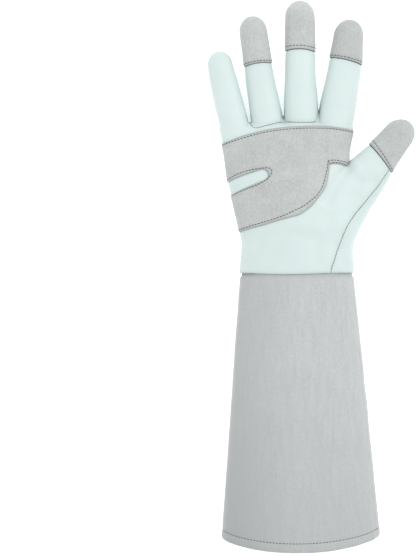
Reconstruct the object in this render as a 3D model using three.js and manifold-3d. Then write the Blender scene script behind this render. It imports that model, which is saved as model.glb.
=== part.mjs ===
// A rose pruning gauntlet: one long leather glove for the right hand, lying palm up on a table.
// The hand is goatskin, cut and sewn as a palm, a back, two finger fronts, a thumb back and the side
// strips between the fingers. Suede covers the fingertips and the palm, and a flared suede cuff
// is sewn inside the wrist. Millimetres. X runs across the palm towards the thumb, Y from the cuff
// to the fingers and Z up from the table. Every piece is a hollow wall of its leather's thickness.
import * as THREE from "three";
import { mergeVertices } from "three/addons/utils/BufferGeometryUtils.js";
import Module from "manifold-3d";

const wasm = await Module();
wasm.setup();

// Driving dimensions
const HAND_LENGTH = 218; // wrist seam to the end of the middle finger
const PALM_WIDTH = 106; // across the knuckles
const PALM_HEIGHT = 31; // thickest part of the palm, above the table
const FINGER_WIDTH = 25; // middle finger, half way along
const FINGER_HEIGHT = 20; // middle finger, above the table
const THUMB_WIDTH = 40; // where the thumb leaves the wrist
const THUMB_HEIGHT = 27; // where the thumb leaves the wrist
const CUFF_LENGTH = 219; // wrist seam to the middle of the hem
const CUFF_HEM_WIDTH = 124;
const CUFF_HEM_HEIGHT = 60;
const CUFF_LEAN = 2.2; // how far the hem's middle lies towards the thumb side
const HEM_SAG = 10; // the hem's middle hangs this much lower than its ends
const HEM_TILT = 2.2; // the hem's end on the little finger's side hangs this much lower
const HEM_CORNER = 2.5; // rounding where the hem turns under at either end
const HEM_DEPTH = 10; // turned edge at the hem, folded inside
const CUFF_LAP = 8; // length of the cuff that is sewn inside the wrist
const CUFF_SWELL = 3; // the cuff reaches its full width this far below the seam
const GOATSKIN = 1.3; // wall of the white leather
const SUEDE = 1.5; // wall of the cuff
const PATCH = 1; // thickness of the suede palm patch
const TIP_PROUD = 0.5; // how far a suede fingertip stands above the white leather
const TIP_LENGTH = 38; // suede fingertip, from its lower edge to its end
const SEAM_GAP = 0.3; // between any two sewn pieces
const TABLE_PRESS = 0.9; // how far the soft underside is pressed flat by the table
const GATHER_DEPTH = 0.8; // height of the gathers at the back of the wrist
const SLOT_WIDTH = 12; // opening in the palm patch, at its round end
const SLOT_MOUTH = 16; // the same opening where it runs out at the side
const CROTCH_DEPTH = 5; // how far a side strip runs past the fork of two fingers
const CROTCH_WIDTH = 6.5; // width of a side strip there
const OUTLINE_MARGIN = 3; // a fingertip's cutting outline passes this far outside the finger

// Points around one section
const DIGIT_POINTS = 16;
const BODY_POINTS = 36;
const SECTION_POWER = 2.35; // a superellipse, a little squarer than an ellipse
const ROUND_END = 1.12; // length of a finger's rounded end, as a share of its half width there
const SMALLEST = 0.4; // a section never closes to less than this

const WHITE_LEATHER = { color: "#e6f2f0", roughness: 0.5, metalness: 0 };
const GREY_SUEDE = { color: "#c6cac9", roughness: 0.95, metalness: 0 };
const CUFF_SUEDE = { color: "#bcc0bf", roughness: 0.95, metalness: 0 };

// Height of the side seam, where palm and back pieces meet, along the glove.
// up is a share of HAND_LENGTH and height a share of PALM_HEIGHT.
const SIDE_SEAM = [
  { up: -1.2, height: 0.52 },
  { up: 0.04, height: 0.52 },
  { up: 0.12, height: 0.49 },
  { up: 0.35, height: 0.43 },
  { up: 0.5, height: 0.36 },
  { up: 0.62, height: 0.31 },
  { up: 1.1, height: 0.3 },
];

// Sections of the hand from the wrist to the roots of the fingers. up is a share of HAND_LENGTH,
// left and right of PALM_WIDTH, top and bottom of PALM_HEIGHT, gather of GATHER_DEPTH.
const HAND_SECTIONS = [
  { up: -0.06, left: -0.422, right: 0.422, top: 1.1, bottom: 0.02, gather: 0 },
  { up: 0.04, left: -0.422, right: 0.422, top: 1.1, bottom: 0.02, gather: 0 },
  { up: 0.065, left: -0.42, right: 0.412, top: 1.07, bottom: 0.05, gather: 0.25 },
  { up: 0.098, left: -0.419, right: 0.402, top: 1.03, bottom: 0.1, gather: 1 },
  { up: 0.14, left: -0.428, right: 0.4, top: 1.01, bottom: 0.09, gather: 1 },
  { up: 0.19, left: -0.446, right: 0.398, top: 1.0, bottom: 0.03, gather: 0.35 },
  { up: 0.344, left: -0.516, right: 0.378, top: 0.99, bottom: 0, gather: 0 },
  { up: 0.468, left: -0.556, right: 0.394, top: 0.88, bottom: 0, gather: 0 },
  { up: 0.528, left: -0.575, right: 0.412, top: 0.78, bottom: 0.02, gather: 0 },
  { up: 0.556, left: -0.578, right: 0.412, top: 0.66, bottom: 0.08, gather: 0 },
  { up: 0.572, left: -0.57, right: 0.405, top: 0.5, bottom: 0.16, gather: 0 },
];

// Fingers and thumb. Each row of a path is a section: across is a share of PALM_WIDTH, up of
// HAND_LENGTH, half of FINGER_WIDTH (THUMB_WIDTH on the thumb), top and bottom of FINGER_HEIGHT
// (THUMB_HEIGHT on the thumb). The last row is the very end, where the section closes. A suede
// fingertip's two sides are shares of TIP_LENGTH.
const DIGITS = {
  little: {
    path: [
      { across: -0.405, up: 0.38, half: 0.25, top: 0.85, bottom: 0.1 },
      { across: -0.473, up: 0.53, half: 0.475, top: 1.05 },
      { across: -0.537, up: 0.67, half: 0.445, top: 0.93 },
      { across: -0.583, up: 0.77, half: 0.405, top: 0.86 },
      { across: -0.6, up: 0.813, half: 0.37, top: 0.8 },
    ],
  },
  ring: {
    tip: { left: 1.02, right: 1.045 },
    path: [
      { across: -0.18, up: 0.4, half: 0.4, top: 1.2 },
      { across: -0.22, up: 0.54, half: 0.52, top: 1.14 },
      { across: -0.275, up: 0.7, half: 0.47, top: 0.97 },
      { across: -0.325, up: 0.87, half: 0.42, top: 0.9 },
      { across: -0.35, up: 0.942, half: 0.39, top: 0.84 },
    ],
  },
  middle: {
    tip: { left: 1.02, right: 1.05 },
    path: [
      { across: 0.035, up: 0.4, half: 0.42, top: 1.2 },
      { across: 0.03, up: 0.55, half: 0.55, top: 1.17 },
      { across: 0.024, up: 0.74, half: 0.5, top: 1.0 },
      { across: 0.022, up: 0.92, half: 0.455, top: 0.92 },
      { across: 0.02, up: 1.0, half: 0.42, top: 0.86 },
    ],
  },
  index: {
    tip: { left: 0.866, right: 0.924 },
    path: [
      { across: 0.22, up: 0.38, half: 0.28, top: 0.9, bottom: 0.1 },
      { across: 0.283, up: 0.54, half: 0.555, top: 1.13 },
      { across: 0.35, up: 0.74, half: 0.525, top: 1.0 },
      { across: 0.39, up: 0.87, half: 0.46, top: 0.91 },
      { across: 0.403, up: 0.93, half: 0.42, top: 0.86 },
    ],
  },
  thumb: {
    tip: { left: 0.89, right: 1.13 },
    path: [
      { across: 0.2, up: 0.07, half: 0.45, top: 1.05, bottom: 0.2 },
      { across: 0.254, up: 0.16, half: 0.505, top: 1.08, bottom: 0.08 },
      { across: 0.368, up: 0.27, half: 0.475, top: 1.0 },
      { across: 0.508, up: 0.36, half: 0.405, top: 0.86 },
      { across: 0.638, up: 0.432, half: 0.333, top: 0.75 },
      { across: 0.79, up: 0.515, half: 0.285, top: 0.68 },
      { across: 0.852, up: 0.5555, half: 0.25, top: 0.64 },
    ],
  },
};

// Seam lines seen from above, each row a share of PALM_WIDTH across and of HAND_LENGTH up.
// The seam under the ring and middle finger fronts, from the little finger's crotch to the index's
const FINGER_FRONT_SEAM = [
  { across: -0.366, up: 0.578 },
  { across: -0.352, up: 0.55 },
  { across: -0.318, up: 0.535 },
  { across: -0.235, up: 0.544 },
  { across: -0.112, up: 0.557 },
  { across: -0.035, up: 0.557 },
  { across: 0.077, up: 0.555 },
  { across: 0.14, up: 0.562 },
  { across: 0.16, up: 0.585 },
];
const RING_MIDDLE_CROTCH = 4; // the row of that seam where the ring and middle fronts meet
// The free space between neighbouring fingers, from the crotch outwards
const FINGER_GAPS = {
  little_ring: [
    { across: -0.39, up: 0.64 },
    { across: -0.42, up: 0.73 },
    { across: -0.47, up: 0.84 },
    { across: -0.48, up: 1.05 },
  ],
  ring_middle: [
    { across: -0.118, up: 0.62 },
    { across: -0.145, up: 0.75 },
    { across: -0.19, up: 0.92 },
    { across: -0.2, up: 1.05 },
  ],
  middle_index: [
    { across: 0.17, up: 0.66 },
    { across: 0.2, up: 0.8 },
    { across: 0.23, up: 0.93 },
    { across: 0.26, up: 1.05 },
  ],
};
// The seam on the palm side of the thumb, from its outer edge down to the wrist
const THUMB_PALM_SEAM = [
  { across: 0.76, up: 0.33 },
  { across: 0.665, up: 0.367 },
  { across: 0.607, up: 0.319 },
  { across: 0.508, up: 0.26 },
  { across: 0.418, up: 0.207 },
  { across: 0.358, up: 0.158 },
  { across: 0.313, up: 0.105 },
  { across: 0.275, up: 0.052 },
  { across: 0.246, up: 0.005 },
  { across: 0.235, up: -0.1 },
];
// The seam on the back of the hand, from the thumb's crotch down to the wrist
const THUMB_BACK_SEAM = [
  { across: 0.66, up: 0.62 },
  { across: 0.5, up: 0.505 },
  { across: 0.4, up: 0.413 },
  { across: 0.345, up: 0.3 },
  { across: 0.265, up: 0.16 },
  { across: 0.33, up: 0.12 },
  { across: 0.375, up: -0.1 },
];
// The suede palm patch: its upper edge from the little finger's side to the index's, then the
// notch at the thumb's crotch and the curved lower edge back to the little finger's side
const PATCH_TOP = [
  { across: -0.68, up: 0.47 },
  { across: -0.56, up: 0.477 },
  { across: -0.42, up: 0.502 },
  { across: -0.27, up: 0.522 },
  { across: -0.12, up: 0.534 },
  { across: 0.03, up: 0.539 },
  { across: 0.18, up: 0.54 },
  { across: 0.31, up: 0.533 },
  { across: 0.46, up: 0.522 },
];
const PATCH_NOTCH = [
  { across: 0.424, up: 0.44 },
  { across: 0.403, up: 0.42 },
  { across: 0.385, up: 0.4 },
  { across: 0.335, up: 0.409 },
  { across: 0.258, up: 0.409 },
];
const PATCH_BOTTOM = [
  { across: 0.25, up: 0.375 },
  { across: 0.215, up: 0.32 },
  { across: 0.165, up: 0.278 },
  { across: 0.1, up: 0.246 },
  { across: 0.01, up: 0.218 },
  { across: -0.1, up: 0.198 },
  { across: -0.22, up: 0.182 },
  { across: -0.36, up: 0.158 },
  { across: -0.62, up: 0.112 },
];
// The slot's middle line, from its round end out past the little finger's side
const SLOT_LINE = [
  { across: -0.253, up: 0.366 },
  { across: -0.34, up: 0.352 },
  { across: -0.46, up: 0.33 },
  { across: -0.68, up: 0.287 },
];

// The flare of the cuff. down is a share of CUFF_LENGTH, flare the share of the way from the
// wrist's section to the hem's.
const CUFF_SECTIONS = [
  { down: 0.25, flare: 0.27 },
  { down: 0.55, flare: 0.58 },
];
const HEM_FLARE = 0.97; // flare where the turned hem starts

// The forks between neighbouring fingers, where a side strip turns from one to the next
const FORKS = [
  { strip: "little_ring_strip", left: "little", right: "ring", across: -0.363, up: 0.562 },
  { strip: "ring_middle_strip", left: "ring", right: "middle", across: -0.109, up: 0.568 },
  { strip: "middle_index_strip", left: "middle", right: "index", across: 0.16, up: 0.59 },
];
const TIPPED = ["ring", "middle", "index", "thumb"];
const BACK_COVER = 0.66; // the back piece covers this share of a finger's half width
const BACK_WIDENS = 0.82; // share of a finger's length from which it covers more, up to the end

const at = (row) => new THREE.Vector2(row.across * PALM_WIDTH, row.up * HAND_LENGTH);
const points = (rows) => rows.map(at);

// A value from a table, straight between the two rows around a place
function interpolate(rows, place, key, column) {
  const last = rows.length - 1;
  let i = 0;
  while (i < last - 1 && rows[i + 1][column] < place) i += 1;
  const share = (place - rows[i][column]) / (rows[i + 1][column] - rows[i][column]);
  return THREE.MathUtils.lerp(rows[i][key], rows[i + 1][key], THREE.MathUtils.clamp(share, 0, 1));
}

const seamHeight = (y) => PALM_HEIGHT * interpolate(SIDE_SEAM, y / HAND_LENGTH, "height", "up");

// Turns a closed mesh into a solid that can be cut and joined
function solid(geometry) {
  const bare = new THREE.BufferGeometry().setIndex(geometry.index);
  bare.setAttribute("position", geometry.getAttribute("position"));
  const merged = mergeVertices(bare, 1e-4);
  return new wasm.Manifold(
    new wasm.Mesh({
      numProp: 3,
      vertProperties: merged.getAttribute("position").array,
      triVerts: new Uint32Array(merged.index.array),
    }),
  );
}

function geometryOf(made) {
  const mesh = made.getMesh();
  const geometry = new THREE.BufferGeometry();
  geometry.setAttribute("position", new THREE.BufferAttribute(mesh.vertProperties, 3));
  geometry.setIndex(new THREE.BufferAttribute(mesh.triVerts, 1));
  return geometry;
}

const joined = (solids) => solids.reduce((whole, next) => whole.add(next));
const without = (whole, cutters) => cutters.reduce((left, cutter) => left.subtract(cutter), whole);

// Cutting can leave loose crumbs, so the largest body is the piece
function piece(made) {
  return made.decompose().reduce((a, b) => (a.volume() > b.volume() ? a : b));
}

// A closed skin through rings of points, with a fan over each end
function loft(rings) {
  const count = rings[0].length;
  const vertices = rings.flat();
  const faces = [];
  for (let r = 0; r + 1 < rings.length; r += 1) {
    for (let k = 0; k < count; k += 1) {
      const here = r * count + k;
      const next = r * count + ((k + 1) % count);
      faces.push(here, next + count, next, here, here + count, next + count);
    }
  }
  const middle = (ring) =>
    ring.reduce((sum, p) => sum.add(p), new THREE.Vector3()).divideScalar(count);
  const first = vertices.push(middle(rings[0])) - 1;
  const last = vertices.push(middle(rings.at(-1))) - 1;
  const end = (rings.length - 1) * count;
  for (let k = 0; k < count; k += 1) {
    const next = (k + 1) % count;
    faces.push(first, k, next, last, end + next, end + k);
  }
  const geometry = new THREE.BufferGeometry().setFromPoints(vertices);
  geometry.setIndex(faces);
  return solid(geometry);
}

// One section: a superellipse whose widest level is the side seam, as offsets [across, height]
function section({ half, top, bottom, seam, count, inset, ripple = () => 0 }) {
  const ring = [];
  for (let k = 0; k < count; k += 1) {
    const turn = (2 * Math.PI * k) / count;
    const bulge = (v) => Math.sign(v) * Math.abs(v) ** (2 / SECTION_POWER);
    const across = bulge(Math.cos(turn)) * (half - inset);
    const rise = turn < Math.PI ? top - inset - seam : seam - bottom - inset;
    const height = seam + bulge(Math.sin(turn)) * rise + ripple(turn, k);
    ring.push([across, height]);
  }
  return ring;
}

// A finger or the thumb: its middle line, its half width and its height anywhere along it
class Digit {
  constructor({ path, tip }, width, height) {
    this.tip = tip;
    this.curve = new THREE.SplineCurve(points(path));
    this.halves = new THREE.SplineCurve(path.map((r, i) => new THREE.Vector2(i, r.half * width)));
    this.tops = new THREE.SplineCurve(path.map((r, i) => new THREE.Vector2(i, r.top * height)));
    this.lows = path.map((r) => (r.bottom ?? 0) * height - TABLE_PRESS);
    this.rows = path.length - 1;
  }
  middle(share) {
    return this.curve.getPoint(share);
  }
  outward(share) {
    const along = this.curve.getTangent(Math.min(share, 1));
    return new THREE.Vector2(along.y, -along.x);
  }
  half(share) {
    return this.halves.getPoint(share).y;
  }
  top(share) {
    return this.tops.getPoint(share).y;
  }
  bottom(share) {
    const row = Math.min(Math.floor(share * this.rows), this.rows - 1);
    return THREE.MathUtils.lerp(this.lows[row], this.lows[row + 1], share * this.rows - row);
  }
  // A point seen from above: side -1 is the left edge, 1 the right one, and past adds millimetres
  edge(share, side, past = 0) {
    const reach = side * this.half(share) + Math.sign(side) * past;
    return this.middle(share).addScaledVector(this.outward(share), reach);
  }
  // How far out the back piece reaches at the side: all the way at the end
  cover(share) {
    const near = Math.max(0, (share - BACK_WIDENS) / (1 - BACK_WIDENS));
    return { inside: THREE.MathUtils.lerp(BACK_COVER, 1, near ** 1.5), past: near };
  }
  // The share of the path that lies a length back from the end
  fromEnd(length) {
    let share = 1;
    while (share > 0 && this.middle(share).distanceTo(this.middle(1)) < length) share -= 0.005;
    return share;
  }
  body(inset) {
    const start = this.fromEnd(this.half(1) * ROUND_END);
    const rows = [];
    for (let k = 0; k <= this.rows; k += 1) {
      rows.push({ share: (start * k) / (this.rows + 1), close: 1 });
    }
    for (const reach of [0, 0.38, 0.68, 0.89, 1]) {
      rows.push({ share: start + (1 - start) * reach, close: Math.sqrt(1.005 - reach ** 2) });
    }
    return loft(
      rows.map(({ share, close }) => {
        const shift = (inset * Math.max(0, share - start)) / (1 - start);
        const centre = this.middle(share);
        const side = this.outward(share);
        centre.addScaledVector(new THREE.Vector2(side.y, -side.x), shift);
        const seam = seamHeight(centre.y);
        const least = inset + SMALLEST;
        const ring = section({
          half: Math.max(this.half(share) * close, least),
          top: seam + Math.max((this.top(share) - seam) * close, least),
          bottom: Math.min(this.bottom(share) + (1 - close) * seam, seam - least),
          seam,
          count: DIGIT_POINTS,
          inset,
        });
        return ring.map(
          ([across, height]) =>
            new THREE.Vector3(centre.x + side.x * across, centre.y + side.y * across, height),
        );
      }),
    );
  }
}

const digits = Object.fromEntries(
  Object.entries(DIGITS).map(([name, row]) => {
    const thumb = name === "thumb";
    const width = thumb ? THUMB_WIDTH : FINGER_WIDTH;
    return [name, new Digit(row, width, thumb ? THUMB_HEIGHT : FINGER_HEIGHT)];
  }),
);

// The hand without its digits, from below the wrist seam to the roots of the fingers
function palmBody(inset) {
  const last = HAND_SECTIONS.length - 1;
  const rings = HAND_SECTIONS.map((row, i) => {
    const y = row.up * HAND_LENGTH - (i === last ? inset : 0);
    const seam = seamHeight(y);
    const middle = ((row.left + row.right) / 2) * PALM_WIDTH;
    const ripple = (turn, k) => {
      const under = Math.max(0, -Math.sin(turn)) ** 0.5;
      return (k % 2 ? 1 : -1) * row.gather * GATHER_DEPTH * under;
    };
    const ring = section({
      half: ((row.right - row.left) / 2) * PALM_WIDTH,
      top: row.top * PALM_HEIGHT,
      bottom: row.bottom * PALM_HEIGHT - TABLE_PRESS,
      seam,
      count: BODY_POINTS,
      inset,
      ripple,
    });
    return ring.map(([across, height]) => new THREE.Vector3(middle + across, y, height));
  });
  return loft(rings);
}

// A box from below the table to well above the glove, over an outline seen from above
const TALL = 4 * PALM_HEIGHT;
function prism(outline) {
  const shape = new THREE.Shape(outline);
  const geometry = new THREE.ExtrudeGeometry(shape, { depth: 2 * TALL, bevelEnabled: false });
  return solid(geometry.translate(0, 0, -TALL));
}

// The outline moved outwards by a distance
function grown(outline, by) {
  const clockwise = THREE.ShapeUtils.isClockWise(outline) ? -1 : 1;
  return outline.map((p, i) => {
    const before = outline.at(i - 1);
    const after = outline[(i + 1) % outline.length];
    const along = after.clone().sub(before).normalize();
    return new THREE.Vector2(p.x + clockwise * along.y * by, p.y - clockwise * along.x * by);
  });
}

const smooth = (rows, divisions) => new THREE.SplineCurve(points(rows)).getPoints(divisions);

// Everything under the side seam's level, moved up by a distance
function underSeam(raise) {
  const profile = SIDE_SEAM.map(
    (row) => new THREE.Vector2(row.up * HAND_LENGTH, row.height * PALM_HEIGHT + raise),
  );
  profile.push(new THREE.Vector2(profile.at(-1).x, -TALL), new THREE.Vector2(profile[0].x, -TALL));
  const reach = 2 * PALM_WIDTH;
  const geometry = new THREE.ExtrudeGeometry(new THREE.Shape(profile), {
    depth: 2 * reach,
    bevelEnabled: false,
  });
  const axes = new THREE.Matrix4().makeBasis(
    new THREE.Vector3(0, 1, 0),
    new THREE.Vector3(0, 0, 1),
    new THREE.Vector3(1, 0, 0),
  );
  return solid(geometry.applyMatrix4(axes).translate(-reach, 0, 0));
}

// A box that keeps what lies above the table, or above a wall's thickness over it
function above(height) {
  const side = 6 * HAND_LENGTH;
  const box = new THREE.BoxGeometry(side, side, TALL);
  return solid(box.translate(0, 0, height + TALL / 2));
}

// The space inside a skin that lies a distance under the glove's surface
function gloveBody(inset) {
  const parts = [palmBody(inset), ...Object.values(digits).map((digit) => digit.body(inset))];
  return joined(parts).intersect(above(Math.max(inset, 0)));
}

// The hand is cut square at the wrist seam
function belowWrist() {
  const side = 6 * HAND_LENGTH;
  const box = new THREE.BoxGeometry(side, side, 2 * TALL);
  return solid(box.translate(0, -side / 2, 0));
}

// Outline of the strip between two neighbouring fingers: down the side of one, round the fork
// and up the side of the next. by is the seam gap when another piece is cut clear of it.
const STRIP_STEPS = 12;
function forkOutline({ left, right, across, up }, by) {
  const fork = at({ across, up });
  const sideOf = (digit, side) => {
    const line = [];
    for (let k = STRIP_STEPS; k >= 0; k -= 1) {
      const share = k / STRIP_STEPS;
      const { inside, past } = digit.cover(share);
      const place = digit.edge(share, side * inside, past - by);
      if (place.y > fork.y) line.push(place);
    }
    return line;
  };
  const low = fork.y - CROTCH_DEPTH - by;
  const reach = CROTCH_WIDTH / 2 + by;
  const bottom = [-reach, reach].map((shift) => new THREE.Vector2(fork.x + shift, low));
  return [...sideOf(digits[left], 1), ...bottom, ...sideOf(digits[right], -1).reverse()];
}

// Outline of the strip on the thumb's inner side, from the fork with the hand to its end
function thumbStripOutline(by) {
  const { thumb } = digits;
  const shares = [0.52, 0.6, 0.7, 0.8, 0.9, 1];
  const inner = shares.map((share) => {
    const { inside } = thumb.cover(share);
    return thumb.edge(share, -inside, -by);
  });
  const outer = shares.map((share) => thumb.edge(share, -1, OUTLINE_MARGIN / 2));
  return [...inner, ...outer.reverse()];
}

// Outline of a suede fingertip, clear of the neighbouring fingers
function tipOutline(digit, by) {
  const past = OUTLINE_MARGIN + TIP_PROUD;
  const side = (s) => {
    const length = TIP_LENGTH * (s < 0 ? digit.tip.left : digit.tip.right);
    const start = digit.fromEnd(length + by);
    return [0, 0.25, 0.5, 0.75, 1].map((k) => digit.edge(start + (1 - start) * k, s, past));
  };
  const along = digit.curve.getTangent(1);
  const beyond = [-1, 1].map((s) => digit.edge(1, s, past).addScaledVector(along, 2 * past));
  return [...side(1), beyond[1], beyond[0], ...side(-1).reverse()];
}

function frontOutlines() {
  const steps = 2 * (FINGER_FRONT_SEAM.length - 1);
  const seam = smooth(FINGER_FRONT_SEAM, steps);
  const split = 2 * RING_MIDDLE_CROTCH;
  const { little_ring, ring_middle, middle_index } = FINGER_GAPS;
  const ring = [
    ...seam.slice(0, split + 1),
    ...points(ring_middle),
    ...points(little_ring).reverse(),
  ];
  const middle = [
    ...seam.slice(split),
    ...points(middle_index),
    ...points(ring_middle).reverse(),
  ];
  return { ring, middle };
}

function patchOutline() {
  const top = smooth(PATCH_TOP, 12);
  const bottom = smooth(PATCH_BOTTOM, 14);
  return [...top, ...points(PATCH_NOTCH), ...bottom];
}

// The slot is a band around its middle line, with one round end
function slotOutline() {
  const line = new THREE.SplineCurve(points(SLOT_LINE));
  const half = SLOT_WIDTH / 2;
  const edge = (side) =>
    [0, 0.2, 0.4, 0.6, 0.8, 1].map((share) => {
      const along = line.getTangent(share);
      const normal = new THREE.Vector2(along.y, -along.x);
      const reach = THREE.MathUtils.lerp(SLOT_WIDTH, SLOT_MOUTH, share) / 2;
      return line.getPoint(share).addScaledVector(normal, side * reach);
    });
  const start = line.getPoint(0);
  const back = line.getTangent(0).negate();
  const heading = Math.atan2(back.y, back.x);
  const round = [-60, -30, 0, 30, 60].map((degrees) => {
    const turn = heading + THREE.MathUtils.degToRad(degrees);
    return new THREE.Vector2(start.x + half * Math.cos(turn), start.y + half * Math.sin(turn));
  });
  return [...edge(1).reverse(), ...round.reverse(), ...edge(-1)];
}

// The flared cuff. Its first stretch lies inside the wrist, and its hem is turned inside. The
// hollow is the same form, a wall further in, and runs out past both ends.
function cuffBody(inset, isHollow) {
  const wrist = HAND_SECTIONS[0];
  const wristHalf = ((wrist.right - wrist.left) / 2) * PALM_WIDTH;
  const wristTop = wrist.top * PALM_HEIGHT;
  const inside = GOATSKIN + SEAM_GAP;
  const pastEnd = isHollow ? CUFF_LAP / 2 : 0;
  const hemInset = isHollow ? inset + SUEDE : inset;
  const hem = CUFF_LENGTH - HEM_DEPTH;
  const flared = CUFF_SECTIONS.map(({ down, flare }) => {
    return { down: down * CUFF_LENGTH, flare, tuck: 0, inset };
  });
  const rows = [
    { down: -CUFF_LAP - pastEnd, flare: 0, tuck: inside, inset },
    { down: CUFF_SWELL / 3, flare: 0, tuck: inside, inset },
    { down: CUFF_SWELL, flare: 0.01, tuck: inside / 5, inset },
    ...flared,
    { down: hem, flare: HEM_FLARE, tuck: 0, inset },
    { down: hem + SUEDE / 2, flare: HEM_FLARE, tuck: 0, inset: hemInset },
    { down: CUFF_LENGTH + pastEnd, flare: 1, tuck: 0, inset: hemInset },
  ];
  const { lerp } = THREE.MathUtils;
  return loft(
    rows.reverse().map((row) => {
      const half = lerp(wristHalf, CUFF_HEM_WIDTH / 2, row.flare);
      const ring = section({
        half: half - row.tuck,
        top: lerp(wristTop, CUFF_HEM_HEIGHT, row.flare) - row.tuck,
        bottom: row.tuck || -TABLE_PRESS,
        seam: lerp(seamHeight(0), CUFF_HEM_HEIGHT / 2, row.flare),
        count: BODY_POINTS,
        inset: row.inset,
      });
      const share = Math.max(0, row.down) / CUFF_LENGTH;
      return ring.map(([across, height]) => {
        const side = across / half;
        const bend = HEM_SAG * side ** 2 + HEM_TILT * side + HEM_CORNER * side ** 10;
        const y = bend * share ** 2 - row.down;
        return new THREE.Vector3(CUFF_LEAN * share + across, y, height);
      });
    }),
  );
}

const outer = gloveBody(0);
const handSpace = gloveBody(GOATSKIN);
const shell = outer.subtract(handSpace).subtract(belowWrist());
const proudShell = gloveBody(-TIP_PROUD).subtract(handSpace);

const underBack = underSeam(-SEAM_GAP / 2);
const underPalm = underSeam(SEAM_GAP / 2);
const backHalf = shell.intersect(underBack);
const palmHalf = shell.subtract(underPalm);

const stripOutlines = (by) => [
  ...FORKS.map((fork) => forkOutline(fork, by)),
  thumbStripOutline(by),
];
const strips = stripOutlines(0).map(prism);
const widerStrips = stripOutlines(SEAM_GAP).map(prism);
const widerTips = TIPPED.map((name) => prism(tipOutline(digits[name], SEAM_GAP)));

const fronts = frontOutlines();
const thumbPalmEdge = smooth(THUMB_PALM_SEAM, 14);
const farRight = (rows) => [
  new THREE.Vector2(2 * PALM_WIDTH, rows.at(-1).y),
  new THREE.Vector2(2 * PALM_WIDTH, rows[0].y),
];
const thumbPalmSide = [...thumbPalmEdge, ...farRight(thumbPalmEdge)];
const thumbBackEdge = points(THUMB_BACK_SEAM);
const thumbBackSide = [...thumbBackEdge, ...farRight(thumbBackEdge)];

const model = new THREE.Group();
function addPiece(name, made, finish) {
  const mesh = new THREE.Mesh(geometryOf(piece(made)), new THREE.MeshStandardMaterial(finish));
  mesh.name = name;
  model.add(mesh);
}

function addPalm() {
  const cutters = [
    prism(grown(fronts.ring, SEAM_GAP)),
    prism(grown(fronts.middle, SEAM_GAP)),
    prism(grown(thumbPalmSide, SEAM_GAP)),
    ...widerTips,
  ];
  addPiece("palm_panel", without(palmHalf, cutters), WHITE_LEATHER);
}

function addFingerFronts() {
  const ring = palmHalf.intersect(prism(fronts.ring));
  const middle = palmHalf.intersect(prism(fronts.middle));
  const clearOfRing = prism(grown(fronts.ring, SEAM_GAP));
  addPiece("ring_front", without(ring, widerTips), WHITE_LEATHER);
  addPiece("middle_front", without(middle, [...widerTips, clearOfRing]), WHITE_LEATHER);
}

function addBack() {
  const cutters = [...widerStrips, prism(grown(thumbBackSide, SEAM_GAP))];
  addPiece("back_panel", without(backHalf, cutters), WHITE_LEATHER);
}

function addStrips() {
  const names = [...FORKS.map(({ strip }) => strip), "thumb_strip"];
  names.forEach((name, i) => {
    addPiece(name, without(backHalf.intersect(strips[i]), widerTips), WHITE_LEATHER);
  });
}

// The thumb's back wraps on to its palm side, where the suede tip covers its end
function addThumbBack() {
  const palmSide = without(prism(thumbPalmSide).subtract(underSeam(0)), widerTips);
  const backSide = prism(thumbBackSide).intersect(underSeam(-SEAM_GAP / 2));
  const between = prism(thumbPalmSide).intersect(prism(thumbBackSide));
  const bridge = without(between.intersect(underSeam(0.001)), widerTips);
  const made = shell.intersect(joined([palmSide, backSide, bridge]));
  addPiece("thumb_back", without(made, widerStrips), WHITE_LEATHER);
}

// A fingertip covers the palm side of its finger's end, and the sides where a strip would be
function addTips() {
  const sides = joined(strips);
  const keep = above(-TALL / 2).subtract(underPalm).add(sides);
  TIPPED.forEach((name) => {
    const zone = prism(tipOutline(digits[name], 0));
    addPiece(`${name}_tip`, proudShell.intersect(zone).intersect(keep), GREY_SUEDE);
  });
}

function addPatch() {
  const skin = gloveBody(-SEAM_GAP - PATCH).subtract(gloveBody(-SEAM_GAP));
  const made = skin.intersect(prism(patchOutline())).subtract(underPalm);
  addPiece("palm_patch", made.subtract(prism(slotOutline())), GREY_SUEDE);
}

function addCuff() {
  const hollow = cuffBody(SUEDE, true).intersect(above(SUEDE));
  const wall = cuffBody(0, false).intersect(above(0)).subtract(hollow);
  addPiece("cuff", wall, CUFF_SUEDE);
}

addPalm();
addFingerFronts();
addBack();
addStrips();
addThumbBack();
addTips();
addPatch();
addCuff();

// The origin is on the table under the middle of the glove's outline
const centre = new THREE.Box3().setFromObject(model).getCenter(new THREE.Vector3());
model.position.set(-centre.x, -centre.y, 0);

export default model;
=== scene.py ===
"""Rose pruning gauntlet: one long leather glove for the right hand, lying palm up on a table.

The hand is sewn from smooth white goatskin, the fingertips, palm patch and long cuff from grey
suede. Its surface is one soft form, drawn from short tables of shares, and each leather piece is
cut out of it along its own seam lines. Lengths are metres, shown in millimetres where that reads
better. X runs across the palm towards the thumb, Y from the cuff to the fingers, Z up.
"""

import functools
import math

import bpy
import numpy as np
import openvdb
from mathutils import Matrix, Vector, noise
from mathutils.bvhtree import BVHTree


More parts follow.
